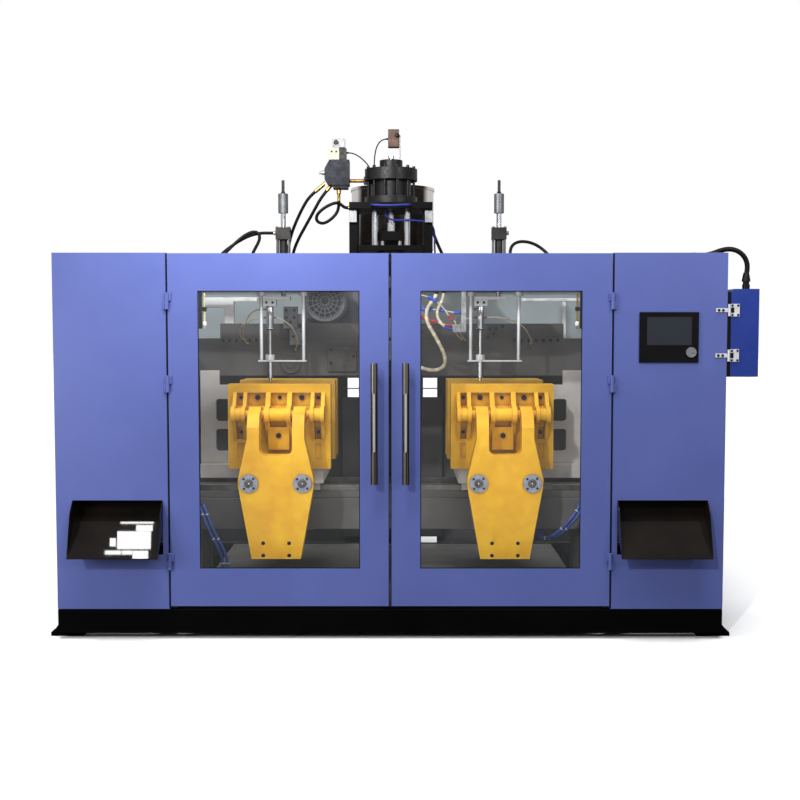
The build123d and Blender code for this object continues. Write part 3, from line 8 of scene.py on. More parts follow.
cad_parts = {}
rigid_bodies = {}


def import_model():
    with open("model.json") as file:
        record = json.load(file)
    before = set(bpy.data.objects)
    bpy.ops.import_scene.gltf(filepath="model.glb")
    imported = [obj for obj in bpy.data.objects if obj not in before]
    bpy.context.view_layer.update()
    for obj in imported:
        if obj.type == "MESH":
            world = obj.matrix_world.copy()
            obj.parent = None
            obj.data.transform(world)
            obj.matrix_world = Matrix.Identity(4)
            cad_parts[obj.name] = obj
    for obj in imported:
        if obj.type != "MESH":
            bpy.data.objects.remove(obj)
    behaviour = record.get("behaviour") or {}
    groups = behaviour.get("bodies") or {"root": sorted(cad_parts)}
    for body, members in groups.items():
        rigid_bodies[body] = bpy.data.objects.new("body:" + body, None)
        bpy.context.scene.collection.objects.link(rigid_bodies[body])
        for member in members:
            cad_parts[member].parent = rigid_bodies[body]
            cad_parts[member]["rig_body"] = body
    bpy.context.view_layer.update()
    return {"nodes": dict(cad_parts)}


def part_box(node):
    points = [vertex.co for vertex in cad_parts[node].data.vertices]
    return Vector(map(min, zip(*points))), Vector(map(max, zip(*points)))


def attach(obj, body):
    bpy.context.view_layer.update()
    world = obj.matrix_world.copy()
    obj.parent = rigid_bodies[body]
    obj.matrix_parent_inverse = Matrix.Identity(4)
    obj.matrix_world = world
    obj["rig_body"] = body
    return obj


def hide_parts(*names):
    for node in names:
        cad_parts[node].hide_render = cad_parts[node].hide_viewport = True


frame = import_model()

LEFT, RIGHT = -1, 1
SIDES = {"left": LEFT, "right": RIGHT}
STATION_X = 0.618
PIN_X = {"left": -0.698, "right": 0.515}
PIN_Y = -0.15
FRONT_Y = -0.95
FORWARD = (0, -1, 0)
UPWARD = (0, 0, 1)


# Camera and stage

def tone(red, green, blue):
    """A colour as a screen shows it, turned into the linear one that a material takes."""
    linear = [v / 255 / 12.92 if v <= 10 else ((v / 255 + 0.055) / 1.055) ** 2.4 for v in (red, green, blue)]
    return (*linear, 1.0)


def add(tree, kind, inputs=None, **settings):
    """One node, its settings, and its inputs: each a value or the socket that feeds it."""
    node = tree.nodes.new(kind)
    for key, value in settings.items():
        setattr(node, key, value)
    for key, value in (inputs or {}).items():
        socket = node.inputs[key] if isinstance(key, int) else next(
            s for s in node.inputs if s.identifier == key or s.name == key)
        if isinstance(value, bpy.types.NodeSocket):
            tree.links.new(value, socket)
        else:
            socket.default_value = value
    return node


def spread(tree, value, given=(0.0, 1.0), made=(0.0, 1.0)):
    """A value's range given, stretched to the range made."""
    node = add(tree, "ShaderNodeMapRange", {"Value": value, "From Min": given[0], "From Max": given[1],
                                            "To Min": made[0], "To Max": made[1]})
    return node.outputs["Result"]


def combine(tree, operation, *values, clamp=False):
    """What a Math node makes of its values."""
    node = add(tree, "ShaderNodeMath", dict(enumerate(values)), operation=operation, use_clamp=clamp)
    return node.outputs[0]


def object_place(tree):
    """The object's own coordinates."""
    return add(tree, "ShaderNodeTexCoord").outputs["Object"]


def cloud(tree, scale, detail, **others):
    """Noise on the object's own coordinates."""
    noise = add(tree, "ShaderNodeTexNoise", {"Vector": object_place(tree), "Scale": scale, "Detail": detail,
                                             **others})
    return noise.outputs["Fac"]


def empty_material(name):
    """A new material and its cleared node tree."""
    material = bpy.data.materials.new(name)
    material.use_nodes = True
    material.node_tree.nodes.clear()
    return material, material.node_tree


def show(thing):
    """Put an object in the scene, and hand it back."""
    bpy.context.scene.collection.objects.link(thing)
    return thing


TILT_DOWN = 3.55


def make_camera():
    lens = bpy.data.cameras.new("front_view")
    lens.lens = 53.0
    lens.sensor_width = 36
    lens.clip_end = 200
    camera = show(bpy.data.objects.new("front_view", lens))
    camera.location = (0.051, -6.95, 1.61)
    camera.rotation_euler = (math.radians(90 - TILT_DOWN), 0, 0)
    bpy.context.scene.camera = camera


HALL_WHITE = (1.0, 1.0, 1.0, 1.0)
HALL_SOFT = (0.95, 0.97, 1.0, 1.0)


def make_world():
    """White behind the machine, and a plain soft light all round it."""
    world = bpy.data.worlds.new("workshop_light")
    world.use_nodes = True
    tree = world.node_tree
    tree.nodes.clear()
    path = add(tree, "ShaderNodeLightPath").outputs
    seen = combine(tree, "MAXIMUM", path["Is Camera Ray"], path["Is Transmission Ray"])
    soft_level = spread(tree, path["Is Glossy Ray"], made=(0.2, 0.6))
    soft = add(tree, "ShaderNodeBackground", {"Color": HALL_SOFT, "Strength": soft_level})
    white = add(tree, "ShaderNodeBackground", {"Color": HALL_WHITE, "Strength": 1.0})
    both = add(tree, "ShaderNodeMixShader", {0: seen, 1: soft.outputs[0], 2: white.outputs[0]})
    add(tree, "ShaderNodeOutputWorld", {"Surface": both.outputs[0]})
    bpy.context.scene.world = world


ROOF_PANE_GLOW = 300
SUN_DISTANCE = 8


def aim(lamp, target):
    """Turn a lamp to its target, with its width as level along x as that allows."""
    back = (lamp.location - Vector(target)).normalized()
    across = (Vector((1, 0, 0)) - back.x * back).normalized()
    lamp.rotation_euler = Matrix((across, back.cross(across), back)).transposed().to_euler()


def make_sun(name, heading, strength, angle):
    """A ceiling light far off. Its heading is the way that its light travels."""
    data = bpy.data.lights.new(name, "SUN")
    data.energy = strength
    data.angle = math.radians(angle)
    lamp = show(bpy.data.objects.new(name, data))
    lamp.location = -Vector(heading).normalized() * SUN_DISTANCE
    aim(lamp, (0, 0, 0))
    return lamp


def make_panel_lamp(name, place, target, width, height, power):
    data = bpy.data.lights.new(name, "AREA")
    data.shape = "RECTANGLE"
    data.size = width
    data.size_y = height
    data.energy = power
    lamp = show(bpy.data.objects.new(name, data))
    lamp.location = place
    aim(lamp, target)
    return lamp


TRAY_LIP = Vector((0, -1.08, 0.445))
TRAY_END = Vector((0, -0.8, 0.74))
WINDOW_DISTANCE = 3.2
ROOF_PANES = {
    "wide": (-1.388, -1.2205, 0.136, 0.407),
    "wide_top": (-1.303, -1.2205, 0.407, 0.5),
    "low_left": (-1.425, -1.396, 0.178, 0.305),
    "low_row": (-1.44, -1.361, 0.06, 0.12),
    "low_middle": (-1.355, -1.303, 0.06, 0.12),
    "lower_corner": (-1.297, -1.2205, -0.06, 0.119),
    "strip": (-1.387, -1.2205, 0.52, 0.55),
}


def make_roof_window():
    """Panes of a roof window that only mirror-like surfaces see, each placed by where the left chute shows
    it."""
    slope = (TRAY_END - TRAY_LIP).normalized()
    normal = Vector((0, -slope.z, slope.y))
    eye = bpy.context.scene.camera.location
    for name, (left, right, low, high) in ROOF_PANES.items():
        middle = TRAY_LIP.lerp(TRAY_END, (low + high) / 2)
        middle.x = (left + right) / 2
        sight = (middle - eye).normalized()
        mirrored = sight - 2 * sight.dot(normal) * normal
        grown = 1 + WINDOW_DISTANCE / (middle - eye).length
        width = (right - left) * grown
        height = (high - low) * (TRAY_END - TRAY_LIP).length * abs(sight.dot(normal)) * grown
        place = middle + mirrored * WINDOW_DISTANCE
        power = ROOF_PANE_GLOW * width * height
        lamp = make_panel_lamp(f"roof_window_{name}", place, middle, width, height, power)
        lamp.visible_diffuse = False
        lamp.visible_camera = False
        lamp.visible_transmission = False


WINDOW_X = 0.5665
WINDOW_Z = 1.08


def make_window_lights():
    """The bright hall as it shines in through the two door windows."""
    for side in (LEFT, RIGHT):
        place = (side * WINDOW_X, FRONT_Y + 0.05, WINDOW_Z)
        target = (side * WINDOW_X, 0, WINDOW_Z)
        lamp = make_panel_lamp(f"hall_light_{side}", place, target, width=0.8, height=1.4, power=3.1)
        lamp.visible_camera = False
        lamp.visible_transmission = False


def make_floor():
    """A pale floor that keeps the machine's shadow, and throws as little light back as a workshop's does."""
    mesh = bpy.data.meshes.new("workshop_floor")
    reach = 60
    corners = [(-reach, -reach, 0), (reach, -reach, 0), (reach, reach, 0), (-reach, reach, 0)]
    mesh.from_pydata(corners, [], [(0, 1, 2, 3)])
    floor = show(bpy.data.objects.new("workshop_floor", mesh))
    material, tree = empty_material("pale_floor")
    noise = add(tree, "ShaderNodeTexNoise", {"Scale": 0.7, "Detail": 3.0}).outputs["Fac"]
    shade = spread(tree, noise, made=(0.93, 0.96))
    seen = add(tree, "ShaderNodeLightPath").outputs["Is Camera Ray"]
    surface = add(tree, "ShaderNodeBsdfDiffuse", {"Color": spread(tree, seen, made=(0.15, shade))})
    add(tree, "ShaderNodeOutputMaterial", {"Surface": surface.outputs[0]})
    mesh.materials.append(material)


bpy.context.scene.view_settings.view_transform = "Standard"
make_camera()
make_world()
make_floor()
make_sun("ceiling_light_left", (0.5, 1.0, -0.6), 1.05, 1.6)
make_sun("ceiling_light_right", (-0.65, 1.0, -0.52), 0.28, 6)
make_sun("roof_light", (0.04, 0.1, -1.0), 2.6, 30).visible_glossy = False
make_panel_lamp("near_ceiling_light", (-0.65, -1.85, 2.85), (-0.6, FRONT_Y, 1.9), 1.3, 0.4, 42)
make_panel_lamp("right_ceiling_light", (1.7, -2.2, 2.8), (1.55, FRONT_Y, 1.8), 1.0, 0.4, 15)
make_panel_lamp("left_bay_light", (-3.0, -2.9, 1.3), (-1.5, FRONT_Y, 0.6), 1.2, 1.0, 26)
make_window_lights()
make_roof_window()


# Shader groups

GROUPS = {}


def shader_group(name, output, **inputs):
    """An empty node group with these inputs and one output. Gives its tree, its input sockets, and the socket
    of the output."""
    tree = GROUPS[name] = bpy.data.node_groups.new(name, "ShaderNodeTree")
    for label, value in inputs.items():
        kind = "NodeSocketVector" if isinstance(value, tuple) else "NodeSocketFloat"
        tree.interface.new_socket(label, in_out="INPUT", socket_type=kind).default_value = value
    kind = "NodeSocketVector" if output == "Normal" else "NodeSocketFloat"
    tree.interface.new_socket(output, in_out="OUTPUT", socket_type=kind)
    return tree, tree.nodes.new("NodeGroupInput").outputs, tree.nodes.new("NodeGroupOutput").inputs[0]


def put_out_mask(tree, given, out, mask, uneven):
    """A mask broken up by noise, as strong as the group's Amount."""
    patchy = combine(tree, "MULTIPLY", mask, uneven)
    tree.links.new(combine(tree, "MULTIPLY", patchy, given["Amount"], clamp=True), out)


def make_mottle():
    """Soft uneven patches, from Low to High."""
    tree, given, out = shader_group("mottle", "Factor", Scale=6.0, Low=0.0, High=1.0)
    noise = cloud(tree, given["Scale"], 5.0, Roughness=0.6)
    tree.links.new(spread(tree, noise, (0.32, 0.68), (given["Low"], given["High"])), out)


def make_crevice_shade_and_grime():
    """Darkening in corners and pockets, broken up by noise: painted shade, with dirt."""
    tree, given, out = shader_group("crevice_shade_and_grime", "Mask", Reach=0.05, Amount=1.0)
    shelter = add(tree, "ShaderNodeAmbientOcclusion", {"Distance": given["Reach"]}, samples=6)
    hidden = spread(tree, shelter.outputs["AO"], (0.85, 0.25))
    put_out_mask(tree, given, out, hidden, spread(tree, cloud(tree, 21.0, 6.0), (0.3, 0.65), (0.35, 1.0)))


def make_edge_wear_and_highlight():
    """Lighter edges, broken up by noise: wear, with a painted highlight."""
    tree, given, out = shader_group("edge_wear_and_highlight", "Mask", Width=0.002, Amount=1.0)
    inward = add(tree, "ShaderNodeAmbientOcclusion", {"Distance": given["Width"]}, samples=6, inside=True,
                 only_local=True)
    edge = spread(tree, inward.outputs["AO"], (0.75, 0.4))
    put_out_mask(tree, given, out, edge, spread(tree, cloud(tree, 38.0, 6.0), (0.4, 0.6)))


def surface_normal(tree):
    """The x, y and z of the way that a surface faces."""
    normal = add(tree, "ShaderNodeNewGeometry").outputs["Normal"]
    return add(tree, "ShaderNodeSeparateXYZ", {"Vector": normal}).outputs


def make_dust():
    """A thin uneven layer on faces that look up."""
    tree, given, out = shader_group("dust", "Mask", Amount=0.5)
    up = spread(tree, surface_normal(tree)["Z"], (0.4, 0.95))
    put_out_mask(tree, given, out, up, spread(tree, cloud(tree, 9.0, 7.0), (0.3, 0.7), (0.3, 1.0)))


def make_brushing():
    """Fine streaks: Stretch is how often they change along x, y and z."""
    tree, given, out = shader_group("brushing", "Streak", Stretch=(20.0, 20.0, 900.0))
    place = object_place(tree)
    drawn = add(tree, "ShaderNodeVectorMath", {0: place, 1: given["Stretch"]}, operation="MULTIPLY")
    line = add(tree, "ShaderNodeTexNoise", {"Vector": drawn.outputs[0], "Scale": 1.0, "Detail": 3.0})
    tree.links.new(line.outputs["Fac"], out)


def make_grain():
    """A fine bump: orange peel on paint, or the skin of a casting. Height is in metres."""
    tree, given, out = shader_group("grain", "Normal", Scale=200.0, Height=0.0001)
    skin = cloud(tree, given["Scale"], 3.0)
    bump = add(tree, "ShaderNodeBump", {"Height": skin, "Distance": given["Height"]})
    tree.links.new(bump.outputs["Normal"], out)


make_mottle()
make_crevice_shade_and_grime()
make_edge_wear_and_highlight()
make_dust()
make_brushing()
make_grain()


def use(tree, name, **inputs):
    """What a node group puts out in this tree."""
    node = add(tree, "ShaderNodeGroup", node_tree=GROUPS[name])
    for key, value in inputs.items():
        node.inputs[key].default_value = value
    return node.outputs[0]


def blend_colours(tree, factor, first, second):
    """Two colours mixed: each a socket, or red, green and blue as a screen shows them."""
    first, second = (tone(*colour) if isinstance(colour, tuple) else colour for colour in (first, second))
    node = add(tree, "ShaderNodeMix", {"Factor_Float": factor, "A_Color": first, "B_Color": second},
               data_type="RGBA")
    return next(s for s in node.outputs if s.identifier == "Result_Color")


# Finishes

LOOKS = {}
ROUGH_PATCHES = 3.1
REFLECTION_FADE = 0.16


def keep_look(material, slot, surface):
    """Give a material its surface, and keep it under its name with its slot."""
    add(material.node_tree, "ShaderNodeOutputMaterial", {"Surface": surface.outputs[0]})
    LOOKS[material.name] = (material, slot)


def finish(name, slot, colour, second, rough, patch=5.0, metallic=0.0, specular=0.5, crevice_shade_and_dirt=None, reach=0.05,
           crevice_amount=0.8, worn_and_highlit_edge=None, edge_width=0.002, edge_amount=0.7, dusty=None, dust=0.3, grain=(260.0, 0.00003),
           streaks=None, rim_reflection=None, reflection_from=0.4):
    """A painted, cast, rubber or metal surface. Its colours are red, green and blue as a screen shows them,
    and rough is its lowest and highest roughness. The crevice colour darkens corners and pockets: painted
    shade, with dirt. The edge colour lightens edges: wear, with a painted highlight. The rim colour is a
    painted reflection, what a bright round piece mirrors from the sides of the room, and the reflection's
    start is where that begins."""
    material, tree = empty_material(name)
    shade = blend_colours(tree, use(tree, "mottle", Scale=patch), colour, second)
    if streaks:
        streak = spread(tree, use(tree, "brushing", Stretch=streaks), (0.3, 0.7), (0.0, 0.45))
        shade = blend_colours(tree, streak, shade, second)
    # Corners and pockets darker: painted shade, with dirt.
    if crevice_shade_and_dirt:
        shade = blend_colours(tree, use(tree, "crevice_shade_and_grime", Reach=reach, Amount=crevice_amount), shade, crevice_shade_and_dirt)
    # Edges lighter: wear, with a painted highlight.
    if worn_and_highlit_edge:
        shade = blend_colours(tree, use(tree, "edge_wear_and_highlight", Width=edge_width, Amount=edge_amount), shade, worn_and_highlit_edge)
    if dusty:
        shade = blend_colours(tree, use(tree, "dust", Amount=dust), shade, dusty)
    # Painted reflection: the colour turns to the rim colour where the surface turns away.
    if rim_reflection:
        turned = add(tree, "ShaderNodeLayerWeight", {"Blend": 0.5}).outputs["Facing"]
        shade = blend_colours(tree, spread(tree, turned, (reflection_from, reflection_from + REFLECTION_FADE)), shade, rim_reflection)
    dull = use(tree, "mottle", Scale=patch * ROUGH_PATCHES, Low=rough[0], High=rough[1])
    surface = add(tree, "ShaderNodeBsdfPrincipled", {"Base Color": shade, "Roughness": dull,
                                                     "Metallic": metallic, "Specular IOR Level": specular})
    if grain:
        skin = use(tree, "grain", Scale=grain[0], Height=grain[1])
        tree.links.new(skin, surface.inputs["Normal"])
    keep_look(material, slot, surface)


# In these finishes the crevice colour paints shade into corners and pockets along with dirt, the edge colour
# paints a highlight along with wear, and a rim colour is a painted reflection.
DUST = (150, 146, 138)
finish("sheet_blue", "blue_paint", (89, 101, 165), (83, 95, 157), (0.34, 0.46), patch=1.7, specular=0.3,
       crevice_shade_and_dirt=(60, 70, 124), reach=0.03, crevice_amount=0.7, worn_and_highlit_edge=(136, 150, 216), edge_width=0.0015, edge_amount=0.5, dusty=DUST,
       dust=0.2, grain=(330.0, 0.00002))
finish("cover_blue", "blue_paint", (88, 101, 169), (79, 92, 155), (0.36, 0.5), patch=1.3, specular=0.3,
       crevice_shade_and_dirt=(56, 66, 118), reach=0.06, worn_and_highlit_edge=(128, 142, 208), edge_width=0.0015, edge_amount=0.5, dusty=DUST, dust=0.35,
       grain=(330.0, 0.00002))
# A darker blue than the panels: the box's own paint, with painted shade for the shade it sits in.
finish("box_blue", "dark_blue_paint", (45, 64, 142), (39, 56, 130), (0.34, 0.48), patch=3.0, specular=0.1,
       crevice_shade_and_dirt=(20, 26, 62), reach=0.03, worn_and_highlit_edge=(72, 90, 160), edge_width=0.0015, edge_amount=0.5, dusty=DUST, dust=0.2)
finish("casting_yellow", "yellow_paint", (226, 176, 34), (206, 148, 22), (0.36, 0.52), patch=7.0,
       specular=0.3, crevice_shade_and_dirt=(182, 108, 24), reach=0.026, crevice_amount=0.85, worn_and_highlit_edge=(250, 216, 128), edge_width=0.0055, edge_amount=0.9,
       dusty=(196, 160, 92), grain=(95.0, 0.0008))
# A darker, duller copy of the casting yellow for the rear castings: painted shade.
finish("casting_yellow_far", "yellow_paint", (216, 168, 62), (192, 146, 50), (0.42, 0.58), patch=6.0,
       specular=0.25, crevice_shade_and_dirt=(150, 104, 44), reach=0.06, worn_and_highlit_edge=(224, 196, 132), edge_width=0.004, edge_amount=0.5,
       dusty=(160, 142, 102), dust=0.5, grain=(95.0, 0.0005))
finish("base_black", "frame_paint", (8, 8, 8), (5, 5, 5), (0.5, 0.65), patch=4.0, specular=0.015,
       crevice_shade_and_dirt=(3, 3, 3), worn_and_highlit_edge=(28, 28, 29), edge_width=0.003, edge_amount=0.4, dusty=(40, 38, 36), dust=0.25,
       grain=(160.0, 0.0001))
finish("chute_black", "black_paint", (26, 22, 19), (14, 12, 11), (0.015, 0.03), patch=2.6, specular=0.12,
       worn_and_highlit_edge=(40, 38, 38), edge_width=0.0015, edge_amount=0.4, grain=(9.0, 0.000006))
finish("head_black", "black_paint", (26, 24, 23), (14, 13, 13), (0.28, 0.5), patch=18.0, specular=0.24,
       crevice_shade_and_dirt=(4, 4, 4), reach=0.035, worn_and_highlit_edge=(118, 110, 100), edge_width=0.003, dusty=(70, 65, 60),
       grain=(140.0, 0.0002))
finish("support_black", "black_paint", (12, 12, 12), (8, 8, 8), (0.34, 0.5), patch=14.0, specular=0.06,
       crevice_shade_and_dirt=(4, 4, 4), worn_and_highlit_edge=(80, 76, 72), edge_width=0.0025, dusty=(70, 66, 62), dust=0.25, grain=(140.0, 0.0001))
finish("frame_grey", "grey_paint", (112, 111, 110), (94, 93, 92), (0.45, 0.62), patch=3.0, specular=0.18,
       crevice_shade_and_dirt=(34, 34, 34), reach=0.1, worn_and_highlit_edge=(128, 127, 125), edge_width=0.003, dusty=(92, 89, 84), dust=0.4,
       grain=(120.0, 0.0001))
# A plain grey in place of the covers' blue on their inner faces: painted shade.
finish("inner_shade", "blue_paint", (92, 92, 94), (76, 76, 78), (0.5, 0.65), patch=3.0, specular=0.12,
       crevice_shade_and_dirt=(30, 30, 31), reach=0.1, grain=(120.0, 0.0001))
finish("guard_grey", "grey_paint", (176, 186, 190), (154, 164, 168), (0.5, 0.65), patch=2.4, specular=0.15,
       crevice_shade_and_dirt=(40, 42, 42), reach=0.1, dusty=DUST, grain=(120.0, 0.0001))
finish("beam_dark", "grey_paint", (94, 92, 91), (74, 72, 71), (0.45, 0.6), patch=4.0, specular=0.16,
       crevice_shade_and_dirt=(30, 30, 30), reach=0.08, worn_and_highlit_edge=(120, 118, 116), edge_width=0.003, dusty=(78, 75, 71), dust=0.4,
       grain=(120.0, 0.0001))
finish("rail_steel", "bright_steel", (128, 126, 122), (96, 94, 90), (0.28, 0.45), patch=14.0, metallic=0.7,
       specular=0.3, crevice_shade_and_dirt=(40, 38, 34), reach=0.03, worn_and_highlit_edge=(190, 188, 184), edge_width=0.0015,
       grain=(260.0, 0.00004), streaks=(10.0, 300.0, 300.0))
finish("carriage_grey", "grey_paint", (222, 218, 214), (200, 195, 191), (0.38, 0.55), patch=6.0,
       specular=0.35, crevice_shade_and_dirt=(70, 66, 62), worn_and_highlit_edge=(196, 194, 190), edge_width=0.003, dusty=DUST, dust=0.25,
       grain=(150.0, 0.0001))
finish("bare_steel", "bright_steel", (184, 184, 186), (134, 134, 136), (0.3, 0.44), patch=14.0,
       metallic=0.45, crevice_shade_and_dirt=(110, 102, 94), reach=0.015, crevice_amount=0.5, grain=(260.0, 0.00001),
       streaks=(10.0, 10.0, 60.0))
# Painted reflection: dark at the sides of the sleeve.
finish("pin_steel", "bright_steel", (216, 216, 218), (170, 170, 172), (0.14, 0.24), patch=8.0, metallic=0.9,
       grain=None, streaks=(60.0, 60.0, 5.0), rim_reflection=(20, 20, 20), reflection_from=0.5)
# Painted reflection: grey at the sides of the bar.
finish("bright_bar", "bright_steel", (240, 242, 246), (208, 210, 214), (0.28, 0.4), patch=9.0, metallic=0.3,
       crevice_shade_and_dirt=(120, 114, 106), reach=0.015, crevice_amount=0.5, grain=(260.0, 0.00001), rim_reflection=(90, 90, 92), reflection_from=0.55,
       streaks=(10.0, 10.0, 60.0))
finish("duct_white", "cream_paint", (252, 253, 254), (240, 242, 244), (0.4, 0.55), patch=4.0, specular=0.3,
       crevice_shade_and_dirt=(170, 168, 162), reach=0.03, worn_and_highlit_edge=(255, 255, 255), grain=(160.0, 0.00004))
finish("knurled_nut", "bright_steel", (124, 127, 128), (96, 98, 100), (0.32, 0.46), patch=18.0, metallic=0.6,
       crevice_shade_and_dirt=(44, 43, 42), reach=0.012, worn_and_highlit_edge=(190, 192, 194), edge_width=0.0015, grain=(300.0, 0.00012))
finish("cylinder_dark", "bright_steel", (44, 43, 42), (60, 58, 56), (0.3, 0.42), patch=16.0, metallic=0.4,
       specular=0.3, crevice_shade_and_dirt=(14, 14, 14), reach=0.03, worn_and_highlit_edge=(120, 118, 114), edge_width=0.0015,
       grain=(240.0, 0.00005))
# Painted reflection: dark at the sides of the rod.
finish("polished_rod", "bright_steel", (236, 236, 238), (222, 222, 225), (0.1, 0.18), patch=6.0,
       metallic=0.95, crevice_shade_and_dirt=(130, 124, 116), reach=0.012, crevice_amount=0.4, grain=None, streaks=(60.0, 60.0, 5.0),
       rim_reflection=(18, 17, 17), reflection_from=0.42)
# Dark steel with bright bands at its sides: a painted reflection of the dark room and the bright hall.
finish("hopper_steel", "bright_steel", (58, 52, 48), (36, 32, 30), (0.16, 0.3), metallic=1.0,
       crevice_shade_and_dirt=(20, 18, 16), crevice_amount=0.4, grain=(60.0, 0.00008), rim_reflection=(250, 246, 238), reflection_from=0.34,
       streaks=(9.0, 9.0, 90.0))
finish("cast_steel", "dark_steel", (84, 80, 76), (60, 56, 53), (0.34, 0.55), patch=16.0, metallic=0.6,
       crevice_shade_and_dirt=(22, 20, 18), reach=0.04, worn_and_highlit_edge=(160, 156, 150), edge_width=0.003, dusty=DUST, grain=(150.0, 0.0002))
finish("manifold_black", "dark_steel", (26, 28, 36), (20, 21, 28), (0.3, 0.48), patch=12.0, metallic=0.2,
       specular=0.15, crevice_shade_and_dirt=(12, 12, 15), reach=0.02, worn_and_highlit_edge=(112, 116, 126), dusty=DUST, dust=0.2,
       grain=(200.0, 0.00006))
finish("valve_cream", "cream_paint", (206, 197, 172), (188, 179, 156), (0.32, 0.48), patch=18.0,
       specular=0.4, crevice_shade_and_dirt=(110, 100, 82), reach=0.015, worn_and_highlit_edge=(230, 224, 206), edge_width=0.0015, dusty=DUST,
       dust=0.2)
finish("pilot_aluminium", "aluminium", (164, 166, 168), (112, 112, 114), (0.34, 0.5), patch=34.0,
       metallic=0.3, specular=0.3, crevice_shade_and_dirt=(50, 48, 48), reach=0.015, crevice_amount=0.9, worn_and_highlit_edge=(206, 208, 210),
       edge_width=0.0015, grain=(300.0, 0.0001))
finish("sensor_copper", "aluminium", (84, 62, 48), (52, 40, 34), (0.34, 0.5), patch=14.0, metallic=0.6,
       crevice_shade_and_dirt=(34, 28, 26), reach=0.03, worn_and_highlit_edge=(160, 130, 108), grain=(220.0, 0.00005))
finish("bezel_black", "black_plastic", (17, 17, 19), (12, 12, 14), (0.4, 0.52), patch=9.0, specular=0.08,
       worn_and_highlit_edge=(50, 51, 54), edge_width=0.0012, edge_amount=0.4, dusty=(60, 60, 62), dust=0.2, grain=(700.0, 0.00004))
finish("screen_dark", "screen_glass", (46, 50, 56), (41, 45, 51), (0.06, 0.1), patch=4.0, specular=0.1,
       grain=None)
finish("screen_trim", "black_plastic", (42, 12, 18), (30, 8, 12), (0.3, 0.4), patch=30.0, specular=0.1,
       grain=(700.0, 0.00002))
# Black rubber; the same look paints shade in the gaps and slots.
finish("black_rubber_and_shade", "black_rubber", (16, 14, 12), (10, 9, 9), (0.5, 0.62), patch=22.0, specular=0.12,
       grain=(500.0, 0.00005))
finish("bronze_pipe", "dark_steel", (168, 128, 76), (134, 98, 56), (0.24, 0.4), patch=20.0, metallic=1.0,
       crevice_shade_and_dirt=(64, 42, 24), reach=0.02, worn_and_highlit_edge=(206, 172, 118), grain=(240.0, 0.00004))
finish("brass", "bright_steel", (196, 160, 88), (168, 132, 66), (0.22, 0.36), patch=22.0, metallic=1.0,
       crevice_shade_and_dirt=(86, 62, 30), reach=0.01, worn_and_highlit_edge=(226, 200, 140), edge_width=0.0012, grain=(300.0, 0.00003))
finish("screw_black", "black_plastic", (18, 18, 19), (12, 12, 13), (0.3, 0.45), patch=30.0, metallic=0.6,
       worn_and_highlit_edge=(92, 92, 94), edge_width=0.0012, grain=(400.0, 0.00003))
finish("cap_steel", "bright_steel", (150, 156, 170), (122, 128, 142), (0.24, 0.4), patch=24.0, metallic=0.9,
       crevice_shade_and_dirt=(70, 66, 60), reach=0.012, worn_and_highlit_edge=(204, 208, 216), edge_width=0.0018)
finish("rod_end_steel", "bright_steel", (104, 98, 94), (66, 62, 60), (0.3, 0.5), patch=60.0, metallic=0.5,
       specular=0.3, crevice_shade_and_dirt=(24, 22, 22), reach=0.003, worn_and_highlit_edge=(176, 174, 172), edge_width=0.0012,
       grain=(300.0, 0.00005))
finish("hose_black", "black_rubber", (12, 12, 13), (8, 8, 9), (0.34, 0.5), patch=26.0, specular=0.14,
       dusty=(54, 52, 50), dust=0.2, grain=(520.0, 0.00006))
finish("hose_blue", "blue_rubber", (58, 84, 158), (48, 72, 142), (0.3, 0.45), patch=20.0, specular=0.4,
       dusty=DUST, dust=0.2, grain=(420.0, 0.00003))
finish("cable_blue", "blue_rubber", (36, 48, 150), (28, 38, 122), (0.34, 0.5), patch=20.0, specular=0.35,
       dusty=DUST, dust=0.2, grain=(420.0, 0.00003))
finish("cable_cream", "cream_rubber", (202, 193, 168), (176, 166, 142), (0.45, 0.62), patch=34.0,
       specular=0.3, crevice_shade_and_dirt=(112, 102, 84), reach=0.012, grain=(420.0, 0.0001))
finish("tape_cream", "cream_rubber", (222, 214, 190), (190, 178, 148), (0.5, 0.65), patch=50.0,
       specular=0.25, crevice_shade_and_dirt=(120, 106, 82), reach=0.008, grain=(300.0, 0.0002))
finish("plug_blue", "blue_plastic", (40, 74, 190), (32, 58, 156), (0.3, 0.42), patch=40.0, specular=0.4,
       crevice_shade_and_dirt=(14, 22, 60), reach=0.01, grain=(600.0, 0.00004))
finish("plug_red", "red_plastic", (158, 40, 44), (120, 30, 34), (0.3, 0.42), patch=40.0, specular=0.4,
       crevice_shade_and_dirt=(50, 12, 14), reach=0.01, grain=(600.0, 0.00004))
finish("tie_white", "cream_rubber", (226, 228, 230), (206, 208, 212), (0.4, 0.5), patch=60.0, specular=0.4,
       grain=(300.0, 0.00003))
finish("dial_grey", "blue_plastic", (122, 124, 128), (106, 108, 112), (0.34, 0.46), patch=30.0,
       specular=0.45, crevice_shade_and_dirt=(60, 60, 62), reach=0.006, worn_and_highlit_edge=(186, 188, 192), edge_width=0.0012,
       grain=(900.0, 0.00003))
finish("button_red", "red_plastic", (120, 42, 40), (104, 34, 34), (0.24, 0.36), patch=50.0,
       crevice_shade_and_dirt=(40, 14, 14), reach=0.005, grain=(900.0, 0.00002))
finish("button_black", "black_plastic", (22, 22, 24), (17, 17, 18), (0.28, 0.4), patch=50.0, specular=0.4,
       grain=(900.0, 0.00002))
finish("motor_grey", "grey_paint", (126, 128, 134), (106, 108, 114), (0.42, 0.58), specular=0.3,
       crevice_shade_and_dirt=(34, 34, 36), reach=0.06, worn_and_highlit_edge=(140, 140, 142), edge_width=0.003, dusty=DUST, dust=0.4,
       grain=(130.0, 0.0002))


